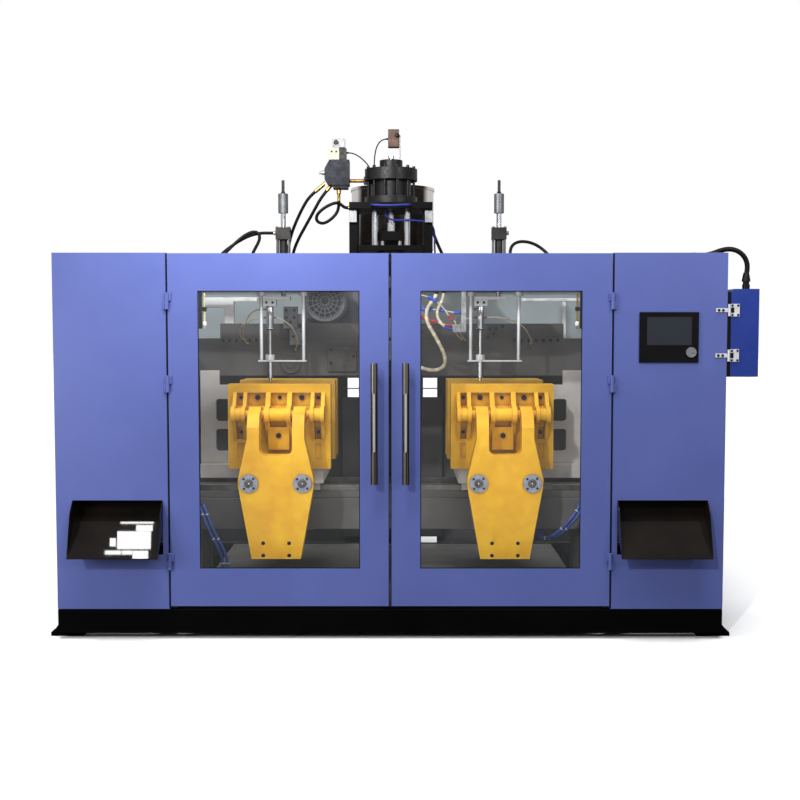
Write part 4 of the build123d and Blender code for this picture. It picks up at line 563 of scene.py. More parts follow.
def make_window_look():
    """Clear sheet with a faint grey veil, which the room's light gives it, and long soft smears."""
    material, tree = empty_material("window_clear")
    smear = use(tree, "brushing", Stretch=(5.0, 5.0, 1.2))
    veil = spread(tree, smear, (0.3, 0.7), (0.014, 0.024))
    dull = use(tree, "mottle", Scale=3.0, Low=0.04, High=0.1)
    through = add(tree, "ShaderNodeBsdfTransparent", {"Color": (0.985, 0.99, 0.99, 1.0)})
    haze = add(tree, "ShaderNodeBsdfDiffuse", {"Color": tone(206, 210, 214)})
    mirror = add(tree, "ShaderNodeBsdfGlossy", {"Color": tone(255, 255, 255), "Roughness": dull})
    hazed = add(tree, "ShaderNodeMixShader", {0: veil, 1: through.outputs[0], 2: haze.outputs[0]})
    bounce = add(tree, "ShaderNodeFresnel", {"IOR": 1.2}).outputs[0]
    surface = add(tree, "ShaderNodeMixShader", {0: bounce, 1: hazed.outputs[0], 2: mirror.outputs[0]})
    keep_look(material, "clear_pane", surface)


REFLECTED_BAND_LOW, REFLECTED_BAND_HIGH = 0.979, 1.272
REFLECTED_BAND_FADE = 0.004


def make_handle_look():
    """Polished tube with the bright hall's reflection painted into its colour: painted dark reflection at
    both edges, a darker band with a painted light strip at its middle height, and a painted dark line below
    it."""
    material, tree = empty_material("handle_chrome")
    height = add(tree, "ShaderNodeSeparateXYZ", {"Vector": object_place(tree)}).outputs["Z"]
    turned = surface_normal(tree)["X"]
    streak = use(tree, "brushing", Stretch=(90.0, 90.0, 3.0))
    # The tube's whole colour is a painted reflection.
    shade = blend_colours(tree, streak, (128, 122, 110), (88, 82, 72))
    above = spread(tree, height, (REFLECTED_BAND_LOW - REFLECTED_BAND_FADE, REFLECTED_BAND_LOW))
    under = spread(tree, height, (REFLECTED_BAND_HIGH, REFLECTED_BAND_HIGH + REFLECTED_BAND_FADE), (1.0, 0.0))
    middle = combine(tree, "MULTIPLY", above, under)
    shade = blend_colours(tree, middle, shade, (66, 60, 54))
    # Painted highlight: a light strip where the tube faces forward in the middle band.
    strip = combine(tree, "MULTIPLY", combine(tree, "COMPARE", turned, 0.0, 0.3), middle)
    shade = blend_colours(tree, strip, shade, (206, 202, 196))
    below = combine(tree, "LESS_THAN", height, REFLECTED_BAND_LOW)
    # Painted dark reflection line on the lower part.
    reflected_dark_line = combine(tree, "MULTIPLY", combine(tree, "COMPARE", turned, 0.25, 0.16), below)
    shade = blend_colours(tree, reflected_dark_line, shade, (36, 30, 24))
    # Painted dark reflection at both sides.
    edge = spread(tree, combine(tree, "ABSOLUTE", turned), (0.56, 0.68))
    shade = blend_colours(tree, edge, shade, (14, 12, 10))
    surface = add(tree, "ShaderNodeBsdfPrincipled", {"Base Color": shade, "Metallic": 0.6, "Roughness": 0.24})
    keep_look(material, "bright_steel", surface)


make_window_look()
make_handle_look()


# Cords

def cord_curve(name, points, diameter, look):
    curve = bpy.data.curves.new(name, "CURVE")
    curve.dimensions = "3D"
    curve.resolution_u = 10
    curve.bevel_depth = diameter / 2
    curve.bevel_resolution = 4
    curve.use_fill_caps = True
    spline = curve.splines.new("NURBS")
    spline.points.add(len(points) - 1)
    for point, place in zip(spline.points, points):
        point.co = (*place, 1)
    spline.order_u = 3
    spline.use_endpoint_u = True
    material, slot = LOOKS[look]
    curve.materials.append(material)
    piece = show(bpy.data.objects.new(name, curve))
    return piece


def run_cord(name, node, points, diameter, length, look, stiffness="medium"):
    """A cord from one fitting of the machine to another. It stands for its CAD tube."""
    piece = cord_curve(name, points, diameter, look)
    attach(piece, "machine")
    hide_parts(node)
    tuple(points[0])
    return piece


CONDUIT = [
    (1.818, -0.91, 1.841), (1.818, -0.91, 1.873), (1.824, -0.909, 1.905), (1.822, -0.908, 1.938),
    (1.808, -0.906, 1.969), (1.783, -0.903, 1.993), (1.752, -0.898, 2.006), (1.718, -0.894, 2.007),
    (1.684, -0.891, 1.998), (1.651, -0.89, 1.985), (1.618, -0.89, 1.977), (1.588, -0.89, 1.975),
    (1.562, -0.89, 1.975),
]
HYDRAULIC = {
    "pressure_hose": (0.586, [
        (-0.434, -0.15, 2.382), (-0.471, -0.15, 2.351), (-0.512, -0.132, 2.285), (-0.545, -0.108, 2.222),
        (-0.574, -0.085, 2.158), (-0.594, -0.065, 2.09), (-0.604, -0.054, 2.018), (-0.604, -0.05, 1.936),
        (-0.604, -0.05, 1.855)]),
    "return_hose": (0.593, [
        (-0.369, -0.15, 2.387), (-0.402, -0.15, 2.3465), (-0.442, -0.14, 2.276), (-0.49, -0.122, 2.194),
        (-0.538, -0.102, 2.114), (-0.57, -0.086, 2.036), (-0.578, -0.076, 1.966), (-0.572, -0.072, 1.914),
        (-0.572, -0.072, 1.855)]),
    "manifold_hose": (0.454, [
        (-0.299, -0.15, 2.33), (-0.299, -0.15, 2.291), (-0.315, -0.152, 2.253), (-0.355, -0.157, 2.215),
        (-0.393, -0.165, 2.198), (-0.425, -0.175, 2.212), (-0.426, -0.182, 2.243), (-0.398, -0.19, 2.274),
        (-0.35, -0.194, 2.304), (-0.302, -0.194, 2.318), (-0.278, -0.182, 2.3), (-0.262, -0.178, 2.288),
        (-0.245, -0.178, 2.288)]),
    "cylinder_hose_left": (0.488, [
        (-0.675, -0.15, 2.147), (-0.702, -0.15, 2.147), (-0.742, -0.146, 2.148), (-0.8, -0.13, 2.139),
        (-0.858, -0.11, 2.116), (-0.915, -0.088, 2.084), (-0.972, -0.065, 2.046), (-1.018, -0.038, 2.004),
        (-1.036, 0, 1.97), (-1.036, 0, 1.935)]),
    "roof_hose_left": (0.589, [
        (-0.792, -0.297, 1.935), (-0.792, -0.297, 1.976), (-0.776, -0.262, 2.036), (-0.756, -0.238, 2.076),
        (-0.744, -0.22, 2.112), (-0.752, -0.208, 2.142), (-0.782, -0.204, 2.152), (-0.826, -0.208, 2.134),
        (-0.866, -0.216, 2.102), (-0.902, -0.23, 2.066), (-0.936, -0.252, 2.028), (-0.968, -0.28, 1.992),
        (-0.976, -0.298, 1.962), (-0.976, -0.298, 1.935)]),
    "roof_hose_right": (0.578, [
        (0.69, -0.24, 1.855), (0.69, -0.24, 1.918), (0.678, -0.228, 1.985), (0.676, -0.215, 2.046),
        (0.694, -0.206, 2.08), (0.731, -0.2, 2.096), (0.779, -0.2, 2.094), (0.828, -0.206, 2.076),
        (0.871, -0.22, 2.043), (0.902, -0.244, 2.006), (0.922, -0.294, 1.974), (0.922, -0.294, 1.935)]),
}
HEAD_CABLES = {
    "head_hose_right": (0.018, 0.386, "hose_black", "medium", [
        (0.222, -0.17, 2.269), (0.222, -0.17, 2.202), (0.243, -0.18, 2.14), (0.266, -0.194, 2.08),
        (0.288, -0.222, 2.03), (0.3, -0.262, 1.994), (0.302, -0.296, 1.966), (0.302, -0.296, 1.935)]),
    "valve_lead": (0.007, 0.173, "hose_black", "limp", [
        (-0.254, -0.15, 2.602), (-0.23, -0.15, 2.602), (-0.204, -0.151, 2.594), (-0.172, -0.152, 2.574),
        (-0.142, -0.153, 2.546), (-0.126, -0.154, 2.524), (-0.126, -0.154, 2.507)]),
    "sensor_lead": (0.007, 0.215, "hose_black", "limp", [
        (-0.017, -0.15, 2.68), (-0.04, -0.15, 2.68), (-0.066, -0.152, 2.664), (-0.084, -0.154, 2.632),
        (-0.092, -0.155, 2.594), (-0.096, -0.157, 2.552), (-0.096, -0.157, 2.507)]),
    "flange_cable_front": (0.01, 0.272, "cable_blue", "limp", [
        (-0.11, -0.33, 2.287), (-0.11, -0.346, 2.287), (-0.098, -0.364, 2.286), (-0.076, -0.372, 2.285),
        (-0.03, -0.374, 2.282), (0.02, -0.373, 2.283), (0.066, -0.372, 2.286), (0.098, -0.365, 2.287),
        (0.11, -0.346, 2.287), (0.11, -0.33, 2.287)]),
    "flange_cable_right": (0.01, 0.56, "cable_blue", "limp", [
        (-0.03, -0.262, 2.269), (-0.03, -0.262, 2.24), (-0.012, -0.258, 2.218), (0.03, -0.255, 2.21),
        (0.09, -0.256, 2.213), (0.15, -0.255, 2.209), (0.205, -0.256, 2.203), (0.238, -0.258, 2.178),
        (0.248, -0.26, 2.132), (0.246, -0.263, 2.075), (0.249, -0.268, 2.015), (0.247, -0.287, 1.966),
        (0.247, -0.287, 1.935)]),
    "heater_loom": (0.02, 0.729, "cable_cream", "medium", [
        (0.258, -0.3, 1.83), (0.258, -0.3, 1.796), (0.24, -0.288, 1.764), (0.214, -0.276, 1.732),
        (0.201, -0.27, 1.698), (0.199, -0.268, 1.661), (0.212, -0.268, 1.621), (0.237, -0.268, 1.58),
        (0.262, -0.268, 1.536), (0.285, -0.268, 1.494), (0.302, -0.266, 1.454), (0.309, -0.262, 1.417),
        (0.3, -0.252, 1.386), (0.27, -0.236, 1.366), (0.23, -0.214, 1.362), (0.19, -0.188, 1.37),
        (0.156, -0.164, 1.381), (0.126, -0.15, 1.387), (0.095, -0.15, 1.387)]),
    "connector_loom": (0.017, 0.288, "cable_cream", "medium", [
        (0.297, -0.3, 1.83), (0.297, -0.3, 1.795), (0.29, -0.292, 1.762), (0.274, -0.286, 1.732),
        (0.261, -0.282, 1.7), (0.262, -0.279, 1.666), (0.279, -0.277, 1.634), (0.304, -0.277, 1.612),
        (0.328, -0.277, 1.602), (0.35, -0.277, 1.602)]),
    "heater_lead_top": (0.007, 0.348, "cable_cream", "limp", [
        (0.112, -0.3, 1.83), (0.112, -0.3, 1.812), (0.14, -0.298, 1.796), (0.177, -0.295, 1.788),
        (0.211, -0.293, 1.779), (0.245, -0.292, 1.762), (0.279, -0.292, 1.736), (0.307, -0.291, 1.703),
        (0.327, -0.29, 1.668), (0.35, -0.287, 1.645), (0.366, -0.284, 1.64), (0.366, -0.284, 1.625)]),
    "heater_lead_upper": (0.007, 0.314, "cable_cream", "limp", [
        (0.1008, -0.1988, 1.7), (0.1278, -0.2119, 1.7), (0.172, -0.24, 1.709), (0.212, -0.246, 1.711),
        (0.252, -0.26, 1.708), (0.292, -0.274, 1.703), (0.33, -0.283, 1.696), (0.364, -0.288, 1.69),
        (0.396, -0.288, 1.69)]),
    "heater_lead_lower": (0.007, 0.274, "cable_cream", "limp", [
        (0.1008, -0.1988, 1.672), (0.1278, -0.2119, 1.672), (0.172, -0.238, 1.664), (0.21, -0.246, 1.652),
        (0.25, -0.26, 1.64), (0.29, -0.28, 1.626), (0.324, -0.287, 1.619), (0.35, -0.287, 1.619)]),
}
STATION_HOSES = {
    "left": (0.572, [
        (-1.052, -0.35, 0.605), (-1.048, -0.41, 0.612), (-1.03, -0.46, 0.596), (-1.004, -0.472, 0.53),
        (-0.972, -0.472, 0.458), (-0.938, -0.466, 0.392), (-0.914, -0.458, 0.334), (-0.908, -0.454, 0.272),
        (-0.918, -0.452, 0.21), (-0.924, -0.452, 0.16)]),
    "right": (0.496, [
        (1.052, -0.35, 0.605), (1.05, -0.41, 0.612), (1.042, -0.454, 0.602), (1.01, -0.468, 0.56),
        (0.974, -0.464, 0.514), (0.934, -0.446, 0.47), (0.894, -0.416, 0.436), (0.862, -0.374, 0.42),
        (0.844, -0.336, 0.416), (0.832, -0.31, 0.436), (0.832, -0.31, 0.47)]),
}
HOSE_PITCH = 0.026
HOSE_WIDTH = 0.018
AIR_HOSES = {
    "left": [
        (0.008, 0.524, [
            (-0.7314, -0.125, 1.712), (-0.738, -0.12, 1.712), (-0.776, -0.106, 1.71), (-0.808, -0.086, 1.697),
            (-0.831, -0.058, 1.675), (-0.848, -0.025, 1.648), (-0.866, 0.015, 1.618), (-0.88, 0.06, 1.586),
            (-0.887, 0.11, 1.556), (-0.888, 0.17, 1.528), (-0.882, 0.23, 1.508), (-0.882, 0.28, 1.508)]),
        (0.008, 0.501, [
            (-0.7314, -0.125, 1.664), (-0.738, -0.12, 1.664), (-0.776, -0.104, 1.662), (-0.81, -0.075, 1.654),
            (-0.844, -0.04, 1.64), (-0.876, 0, 1.622), (-0.897, 0.05, 1.598), (-0.908, 0.105, 1.572),
            (-0.908, 0.165, 1.548), (-0.902, 0.225, 1.532), (-0.902, 0.28, 1.532)]),
        (0.006, 0.502, [
            (-0.6671, -0.1268, 1.664), (-0.658, -0.12, 1.664), (-0.634, -0.104, 1.653),
            (-0.596, -0.08, 1.628), (-0.572, -0.036, 1.596), (-0.558, 0.036, 1.546), (-0.562, 0.11, 1.508),
            (-0.578, 0.176, 1.482), (-0.589, 0.226, 1.47), (-0.589, 0.28, 1.47)]),
    ],
    "right": [
        (0.008, 0.514, [
            (0.4816, -0.125, 1.712), (0.475, -0.12, 1.712), (0.458, -0.106, 1.714), (0.422, -0.094, 1.706),
            (0.392, -0.066, 1.688), (0.373, -0.025, 1.663), (0.364, 0.015, 1.634), (0.366, 0.06, 1.604),
            (0.379, 0.11, 1.577), (0.403, 0.17, 1.55), (0.432, 0.225, 1.532), (0.432, 0.28, 1.532)]),
        (0.008, 0.473, [
            (0.4816, -0.125, 1.664), (0.475, -0.12, 1.664), (0.46, -0.106, 1.664), (0.426, -0.084, 1.652),
            (0.404, -0.045, 1.633), (0.396, -0.005, 1.61), (0.4, 0.04, 1.586), (0.414, 0.09, 1.562),
            (0.434, 0.15, 1.54), (0.452, 0.222, 1.528), (0.452, 0.28, 1.528)]),
        (0.008, 0.581, [
            (0.5484, -0.125, 1.664), (0.555, -0.12, 1.664), (0.592, -0.104, 1.668), (0.636, -0.088, 1.664),
            (0.692, -0.06, 1.652), (0.75, -0.016, 1.632), (0.794, 0.044, 1.598), (0.824, 0.11, 1.562),
            (0.842, 0.172, 1.528), (0.852, 0.226, 1.506), (0.852, 0.28, 1.506)]),
    ],
}


def route_line(piece):
    """The smooth line that a cord follows, as points in the machine's frame."""
    bare = piece.data.copy()
    bare.bevel_depth = 0
    helper = show(bpy.data.objects.new("route_helper", bare))
    bpy.context.view_layer.update()
    mesh = bpy.data.meshes.new_from_object(helper)
    line = [v.co.copy() for v in mesh.vertices]
    bpy.data.objects.remove(helper)
    bpy.data.curves.remove(bare)
    bpy.data.meshes.remove(mesh)
    return line


def along(line, share):
    """The point a share of the way along a line, and the direction there."""
    steps = [(b - a).length for a, b in zip(line, line[1:])]
    left = share * sum(steps)
    for start, end, step in zip(line, line[1:], steps):
        if left <= step:
            return start.lerp(end, left / step), (end - start).normalized()
        left -= step
    return line[-1], (line[-1] - line[-2]).normalized()


# Building pieces

SMOOTH_ANGLE = math.radians(32)
EDGE_ANGLE = math.radians(35)


def new_piece(name, shape, look, body="machine"):
    """A bmesh made into a shown piece of the machine."""
    bmesh.ops.recalc_face_normals(shape, faces=shape.faces)
    mesh = bpy.data.meshes.new(name)
    shape.to_mesh(mesh)
    shape.free()
    mesh.polygons.foreach_set("use_smooth", [True] * len(mesh.polygons))
    mesh.set_sharp_from_angle(angle=SMOOTH_ANGLE)
    material, slot = LOOKS[look]
    mesh.materials.append(material)
    piece = show(bpy.data.objects.new(name, mesh))
    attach(piece, body)
    return piece


def spin(shape, outline, place, facing, segments=40, closed=False):
    """A turned form: outline is (radius, height) pairs along the facing direction."""
    turn = Vector((0, 0, 1)).rotation_difference(Vector(facing).normalized()).to_matrix()
    rings = []
    for radius, height in outline:
        ring = []
        for step in range(segments):
            angle = 2 * math.pi * step / segments
            local = Vector((radius * math.cos(angle), radius * math.sin(angle), height))
            ring.append(shape.verts.new(Vector(place) + turn @ local))
        rings.append(ring)
    pairs = list(zip(rings, rings[1:]))
    if closed:
        pairs.append((rings[-1], rings[0]))
    for low, high in pairs:
        for step in range(segments):
            after = (step + 1) % segments
            shape.faces.new((low[step], low[after], high[after], high[step]))
    if not closed:
        shape.faces.new(list(reversed(rings[0])))
        shape.faces.new(rings[-1])


def block(shape, low, high):
    """A box between two corners."""
    centre = (Vector(low) + Vector(high)) / 2
    size = Vector(high) - Vector(low)
    bmesh.ops.create_cube(shape, size=1.0, matrix=Matrix.Translation(centre) @ Matrix.Diagonal((*size, 1)))


def round_edges(piece, width, segments=2):
    bevel = piece.modifiers.new("rounded_edges", "BEVEL")
    bevel.width = width
    bevel.segments = segments
    bevel.limit_method = "ANGLE"
    bevel.angle_limit = EDGE_ANGLE
    bevel.use_clamp_overlap = True
    bevel.harden_normals = True


def ring_of_blocks(shape, low, high, width):
    """A flat rectangular frame round the opening between two corners, in an x and z plane."""
    block(shape, (low[0] - width, low[1], low[2] - width), (high[0] + width, high[1], low[2]))
    block(shape, (low[0] - width, low[1], high[2]), (high[0] + width, high[1], high[2] + width))
    block(shape, (low[0] - width, low[1], low[2]), (low[0], high[1], high[2]))
    block(shape, (high[0], low[1], low[2]), (high[0] + width, high[1], high[2]))


def box_piece(name, corners, look, width, body="machine"):
    """Boxes between pairs of corners, as one piece with rounded edges."""
    shape = bmesh.new()
    for low, high in corners:
        block(shape, low, high)
    round_edges(new_piece(name, shape, look, body), width)


def spun_piece(name, outline, place, facing, look, body="machine", segments=40, closed=False):
    """One turned form as a piece."""
    shape = bmesh.new()
    spin(shape, outline, place, facing, segments, closed)
    new_piece(name, shape, look, body)


KEY_SHARE = 0.52
SOCKET_SHARE = 0.45


def screw_tree():
    """Socket-head screws on a mesh of places, all of them facing forward."""
    tree = bpy.data.node_groups.new("socket_screws", "GeometryNodeTree")
    kinds = {"Places": "Geometry", "Radius": "Float", "Height": "Float", "Finish": "Material"}
    for label, kind in kinds.items():
        tree.interface.new_socket(label, in_out="INPUT", socket_type=f"NodeSocket{kind}")
    tree.interface.new_socket("Screws", in_out="OUTPUT", socket_type="NodeSocketGeometry")
    given = tree.nodes.new("NodeGroupInput").outputs
    radius, height = given["Radius"], given["Height"]

    def lifted(mesh, share):
        rise = add(tree, "ShaderNodeCombineXYZ", {"Z": combine(tree, "MULTIPLY", height, share)})
        moved = add(tree, "GeometryNodeTransform", {"Geometry": mesh, "Translation": rise.outputs[0]})
        return moved.outputs[0]

    head = add(tree, "GeometryNodeMeshCylinder", {"Vertices": 28, "Radius": radius, "Depth": height})
    key = combine(tree, "MULTIPLY", radius, KEY_SHARE)
    socket = add(tree, "GeometryNodeMeshCylinder", {"Vertices": 6, "Radius": key, "Depth": height})
    sunk = lifted(socket.outputs["Mesh"], SOCKET_SHARE)
    hollow = add(tree, "GeometryNodeMeshBoolean", {"Mesh 1": head.outputs["Mesh"], "Mesh 2": sunk},
                 operation="DIFFERENCE", solver="EXACT")
    seated = lifted(hollow.outputs["Mesh"], 0.5)
    turn = add(tree, "FunctionNodeAlignRotationToVector", {"Vector": FORWARD}, axis="Z")
    placed = add(tree, "GeometryNodeInstanceOnPoints", {"Points": given["Places"], "Instance": seated,
                                                        "Rotation": turn.outputs["Rotation"]})
    solid = add(tree, "GeometryNodeRealizeInstances", {"Geometry": placed.outputs["Instances"]})
    finished = add(tree, "GeometryNodeSetMaterial", {"Geometry": solid.outputs["Geometry"],
                                                     "Material": given["Finish"]})
    tree.links.new(finished.outputs["Geometry"], tree.nodes.new("NodeGroupOutput").inputs["Screws"])
    return tree


SCREWS = screw_tree()


def screw_heads(name, places, radius, height, look, body="machine"):
    """Screws that face forward, at places under their heads."""
    seats = bpy.data.meshes.new(f"{name}_places")
    seats.from_pydata(places, [], [])
    maker = show(bpy.data.objects.new(f"{name}_places", seats))
    modifier = maker.modifiers.new("screws", "NODES")
    modifier.node_group = SCREWS
    material, slot = LOOKS[look]
    sockets = {item.name: item.identifier for item in SCREWS.interface.items_tree if item.in_out == "INPUT"}
    modifier[sockets["Radius"]] = radius
    modifier[sockets["Height"]] = height
    modifier[sockets["Finish"]] = material
    bpy.context.view_layer.update()
    evaluated = maker.evaluated_get(bpy.context.evaluated_depsgraph_get())
    mesh = bpy.data.meshes.new_from_object(evaluated)
    mesh.name = name
    piece = show(bpy.data.objects.new(name, mesh))
    bpy.data.objects.remove(maker)
    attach(piece, body)


# Where the cords run

TIE_SHARES = (0.24, 0.5, 0.76)
TIE_OUTLINE = [(0.008, -0.003), (0.0102, -0.0024), (0.0106, 0), (0.0102, 0.0024), (0.008, 0.003)]


def make_cords():
    run_cord("box_conduit_run", "box_conduit", CONDUIT, 0.026, 0.394, "hose_black", stiffness="stiff")
    for name, (length, points) in HYDRAULIC.items():
        run_cord(name, "hydraulic_hoses", points, HOSE_WIDTH, length, "hose_black")
    for name, (diameter, length, look, stiffness, points) in HEAD_CABLES.items():
        run_cord(name, "head_cables", points, diameter, length, look, stiffness)
    for side, (length, points) in STATION_HOSES.items():
        for number in range(2):
            shift = SIDES[side] * number * HOSE_PITCH
            shifted = [(x + shift, y, z) for x, y, z in points]
            hose = run_cord(f"station_hose_{side}_{number}", "station_hoses", shifted, HOSE_WIDTH, length,
                            "hose_blue")
            line = route_line(hose)
            shape = bmesh.new()
            for share in TIE_SHARES:
                spin(shape, TIE_OUTLINE, *along(line, share), segments=24, closed=True)
            new_piece(f"hose_ties_{side}_{number}", shape, "tie_white")
    for side, hoses in AIR_HOSES.items():
        for number, (diameter, length, points) in enumerate(hoses):
            run_cord(f"air_hose_{side}_{number}", f"air_hoses_{side}", points, diameter, length,
                     "cable_cream", "limp")


make_cords()


# CAD nodes with rounded edges and their finishes

def solids_of(shape):
    """The separate solids of a mesh, each a list of faces, in the order of their first faces."""
    shape.faces.index_update()
    reached = set()
    for face in shape.faces:
        if face.index in reached:
            continue
        reached.add(face.index)
        solid, waiting = [], [face]
        while waiting:
            current = waiting.pop()
            solid.append(current)
            for edge in current.edges:
                for neighbour in edge.link_faces:
                    if neighbour.index not in reached:
                        reached.add(neighbour.index)
                        waiting.append(neighbour)
        yield sorted(solid, key=lambda f: f.index)


SIZE_SLACK = 0.002
MERGE_DISTANCE = 0.00001
FLAT_ANGLE = 0.008


def matches(mark, low, high):
    """Whether a solid has the mark's size (x, y, z), or its middle lies in the mark's box (low, high)."""
    if len(mark) == 3:
        return all(abs((high - low)[i] - mark[i]) < SIZE_SLACK for i in range(3))
    return all(mark[0][i] <= (low + high)[i] / 2 <= mark[1][i] for i in range(3))


def dress(node, look, width=0.0015, others=(), segments=2, patch_look=None, patch=None):
    """The node's own shape with rounded edges. others names the pieces whose solids match a mark: (name,
    look, mark). patch_look is the finish of those of its faces that pass the test patch."""
    source = bmesh.new()
    source.from_mesh(frame["nodes"][node].data)
    bmesh.ops.remove_doubles(source, verts=source.verts, dist=MERGE_DISTANCE)
    bmesh.ops.dissolve_limit(source, angle_limit=FLAT_ANGLE, verts=source.verts, edges=source.edges)
    main = (f"{node}_shown", look)
    sorted_faces = {main: set()}
    for solid in solids_of(source):
        corners = [v.co for f in solid for v in f.verts]
        low = Vector([min(c[i] for c in corners) for i in range(3)])
        high = Vector([max(c[i] for c in corners) for i in range(3)])
        kind = next(((name, its_look) for name, its_look, mark in others if matches(mark, low, high)), main)
        sorted_faces.setdefault(kind, set()).update(face.index for face in solid)
    for (name, its_look), kept in sorted_faces.items():
        if not kept:
            continue
        shape = source.copy()
        spare = [f for f in shape.faces if f.index not in kept]
        bmesh.ops.delete(shape, geom=spare, context="FACES")
        piece = new_piece(name, shape, its_look, frame["nodes"][node]["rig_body"])
        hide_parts(node)
        if patch:
            piece.data.materials.append(LOOKS[patch_look][0])
            for polygon in piece.data.polygons:
                polygon.material_index = int(patch(polygon.center))
        if width:
            round_edges(piece, width, segments)
    source.free()


COVER_X = 1.715
COVER_Y = 0.95
PANEL_TOP = 1.986
BOX_INNER = 1.734
INNER_MARGIN = 0.001


def dress_body_shell():
    dress("base_frame", "base_black", 0.003, [("floor_plate", "frame_grey", (2.12, 1.74, 0.005))])
    dress("levelling_feet", "base_black", 0.002)
    # Inner faces of the covers take the inner_shade grey: painted shade.
    dress("outer_covers", "cover_blue", 0.0008, patch_look="inner_shade",
          patch=lambda c: (abs(c.x) < COVER_X - INNER_MARGIN and abs(c.y) < COVER_Y - INNER_MARGIN
                           and c.z < PANEL_TOP - INNER_MARGIN))
    dress("frame_hinges", "sheet_blue", 0.001)
    for side in SIDES:
        dress(f"front_panel_{side}", "sheet_blue", 0.002)
        dress(f"door_{side}", "sheet_blue", 0.0015)
        dress(f"window_{side}", "window_clear", 0)
        dress(f"handle_{side}", "handle_chrome", 0.001)
        dress(f"chute_{side}", "chute_black", 0.003, segments=3)
    dress("upper_frame", "frame_grey", 0.002, [
        ("rear_beam", "beam_dark", (3.264, 0.08, 0.23)),
        ("rear_plate", "beam_dark", (2.108, 0.01, 0.091)),
        ("beam_bolts", "screw_black", (0.018, 0.006, 0.018)),
        ("duct_end", "duct_white", (0.319, 0.04, 0.159)),
        ("hose_unions", "bare_steel", (0.024, 0.024, 0.025)),
        ("lead_union", "bare_steel", (0.016, 0.016, 0.025)),
        ("air_unions", "brass", (0.014, 0.02, 0.014)),
        ("cable_hanger", "pilot_aluminium", (0.074, 0.038, 0.25)),
        ("conduit_socket", "bare_steel", (0.05, 0.036, 0.041)),
        ("manifold_union", "brass", (0.012, 0.024, 0.024)),
    ])


def dress_stations():
    dress("bed_beam", "frame_grey", 0.002)
    dress("carriage_rails", "rail_steel", 0.0012)
    for side in SIDES:
        dress(f"carriage_{side}", "carriage_grey", 0.002)
        dress(f"front_yoke_{side}", "casting_yellow", 0.004, segments=3)
        dress(f"front_platen_{side}", "casting_yellow", 0.0035, segments=3)
        dress(f"rear_platen_{side}", "casting_yellow_far", 0.004)
        dress(f"rear_yoke_{side}", "casting_yellow_far", 0.004)
        dress(f"clamp_rods_{side}", "polished_rod", 0.0012, [
            (f"tie_caps_{side}", "cap_steel", (0.1, 0.015, 0.1)),
            (f"rear_nuts_{side}", "cap_steel", (0.08, 0.026, 0.08)),
            (f"lower_bar_{side}", "casting_yellow_far", (0.2, 0.83, 0.09)),
            (f"pivot_shaft_{side}", "casting_yellow", (0.508, 0.05, 0.05)),
            (f"foot_screws_{side}", "screw_black", (0.018, 0.009, 0.018)),
            (f"platen_screws_{side}", "screw_black", (0.02, 0.012, 0.02)),
            (f"platen_plugs_{side}", "screw_black", (0.028, 0.016, 0.028)),
            (f"web_plug_{side}", "screw_black", (0.028, 0.014, 0.028)),
        ])
        dress(f"blow_pin_{side}", "bright_bar", 0.0012, [
            (f"stroke_nut_{side}", "knurled_nut", (0.057, 0.057, 0.11)),
            (f"stroke_tip_{side}", "cylinder_dark", (0.031, 0.031, 0.077)),
            (f"pin_sleeve_{side}", "pin_steel", (0.056, 0.056, 0.43)),
            (f"pin_rod_{side}", "polished_rod", (0.038, 0.038, 0.476)),
        ])
    dress("stripper_frames", "bright_bar", 0.0012)
    dress("blow_cylinders", "bare_steel", 0.0012, [
        ("cylinder_tubes", "cylinder_dark", (0.046, 0.046, 0.229)),
        ("cylinder_tie_rods", "knurled_nut", (0.01, 0.01, 0.229)),
        ("cylinder_heads", "cylinder_dark", (0.082, 0.082, 0.068)),
    ])


def dress_head():
    dress("die_head", "cast_steel", 0.002)
    dress("heater_bands", "bare_steel", 0.001)
    dress("head_support", "support_black", 0.002, [
        ("head_pillars", "polished_rod", (0.035, 0.035, 0.201)),
        ("head_brackets", "bare_steel", (0.043, 0.025, 0.064)),
    ])
    dress("parison_cylinder", "head_black", 0.002, [
        ("parison_bolt_heads", "screw_black", (0.018, 0.018, 0.014)),
        ("parison_tie_bolts", "screw_black", (0.014, 0.014, 0.092)),
    ])
    dress("parison_rod", "polished_rod", 0.001, [("head_yoke", "support_black", (0.186, 0.056, 0.052))])
    dress("position_sensor", "sensor_copper", 0.002, [
        ("sensor_strut", "bare_steel", (0.008, 0.024, 0.144)),
    ])
    dress("valve_manifold", "manifold_black", 0.0015, [
        ("left_fitting", "brass", ((-0.46, -0.2, 2.36), (-0.38, -0.1, 2.45))),
        ("return_fitting", "brass", ((-0.39, -0.2, 2.36), (-0.33, -0.1, 2.44))),
        ("manifold_brass", "brass", (0.026, 0.026, 0.066)),
        ("manifold_plug", "bare_steel", (0.033, 0.028, 0.028)),
        ("pressure_pipe", "bronze_pipe", (0.081, 0.02, 0.02)),
    ])
    dress("servo_valve", "valve_cream", 0.0015, [
        ("pilot_head", "pilot_aluminium", (0.07, 0.04, 0.049)),
        ("pilot_knob", "screw_black", (0.026, 0.012, 0.026)),
        ("valve_coil", "head_black", (0.041, 0.044, 0.068)),
    ])
    dress("extruder_barrel", "cast_steel", 0.002)
    dress("extruder_screw", "bare_steel", 0)
    dress("gearbox", "motor_grey", 0.004)
    dress("drive_motor", "motor_grey", 0.003)
    dress("hopper", "hopper_steel", 0.001)


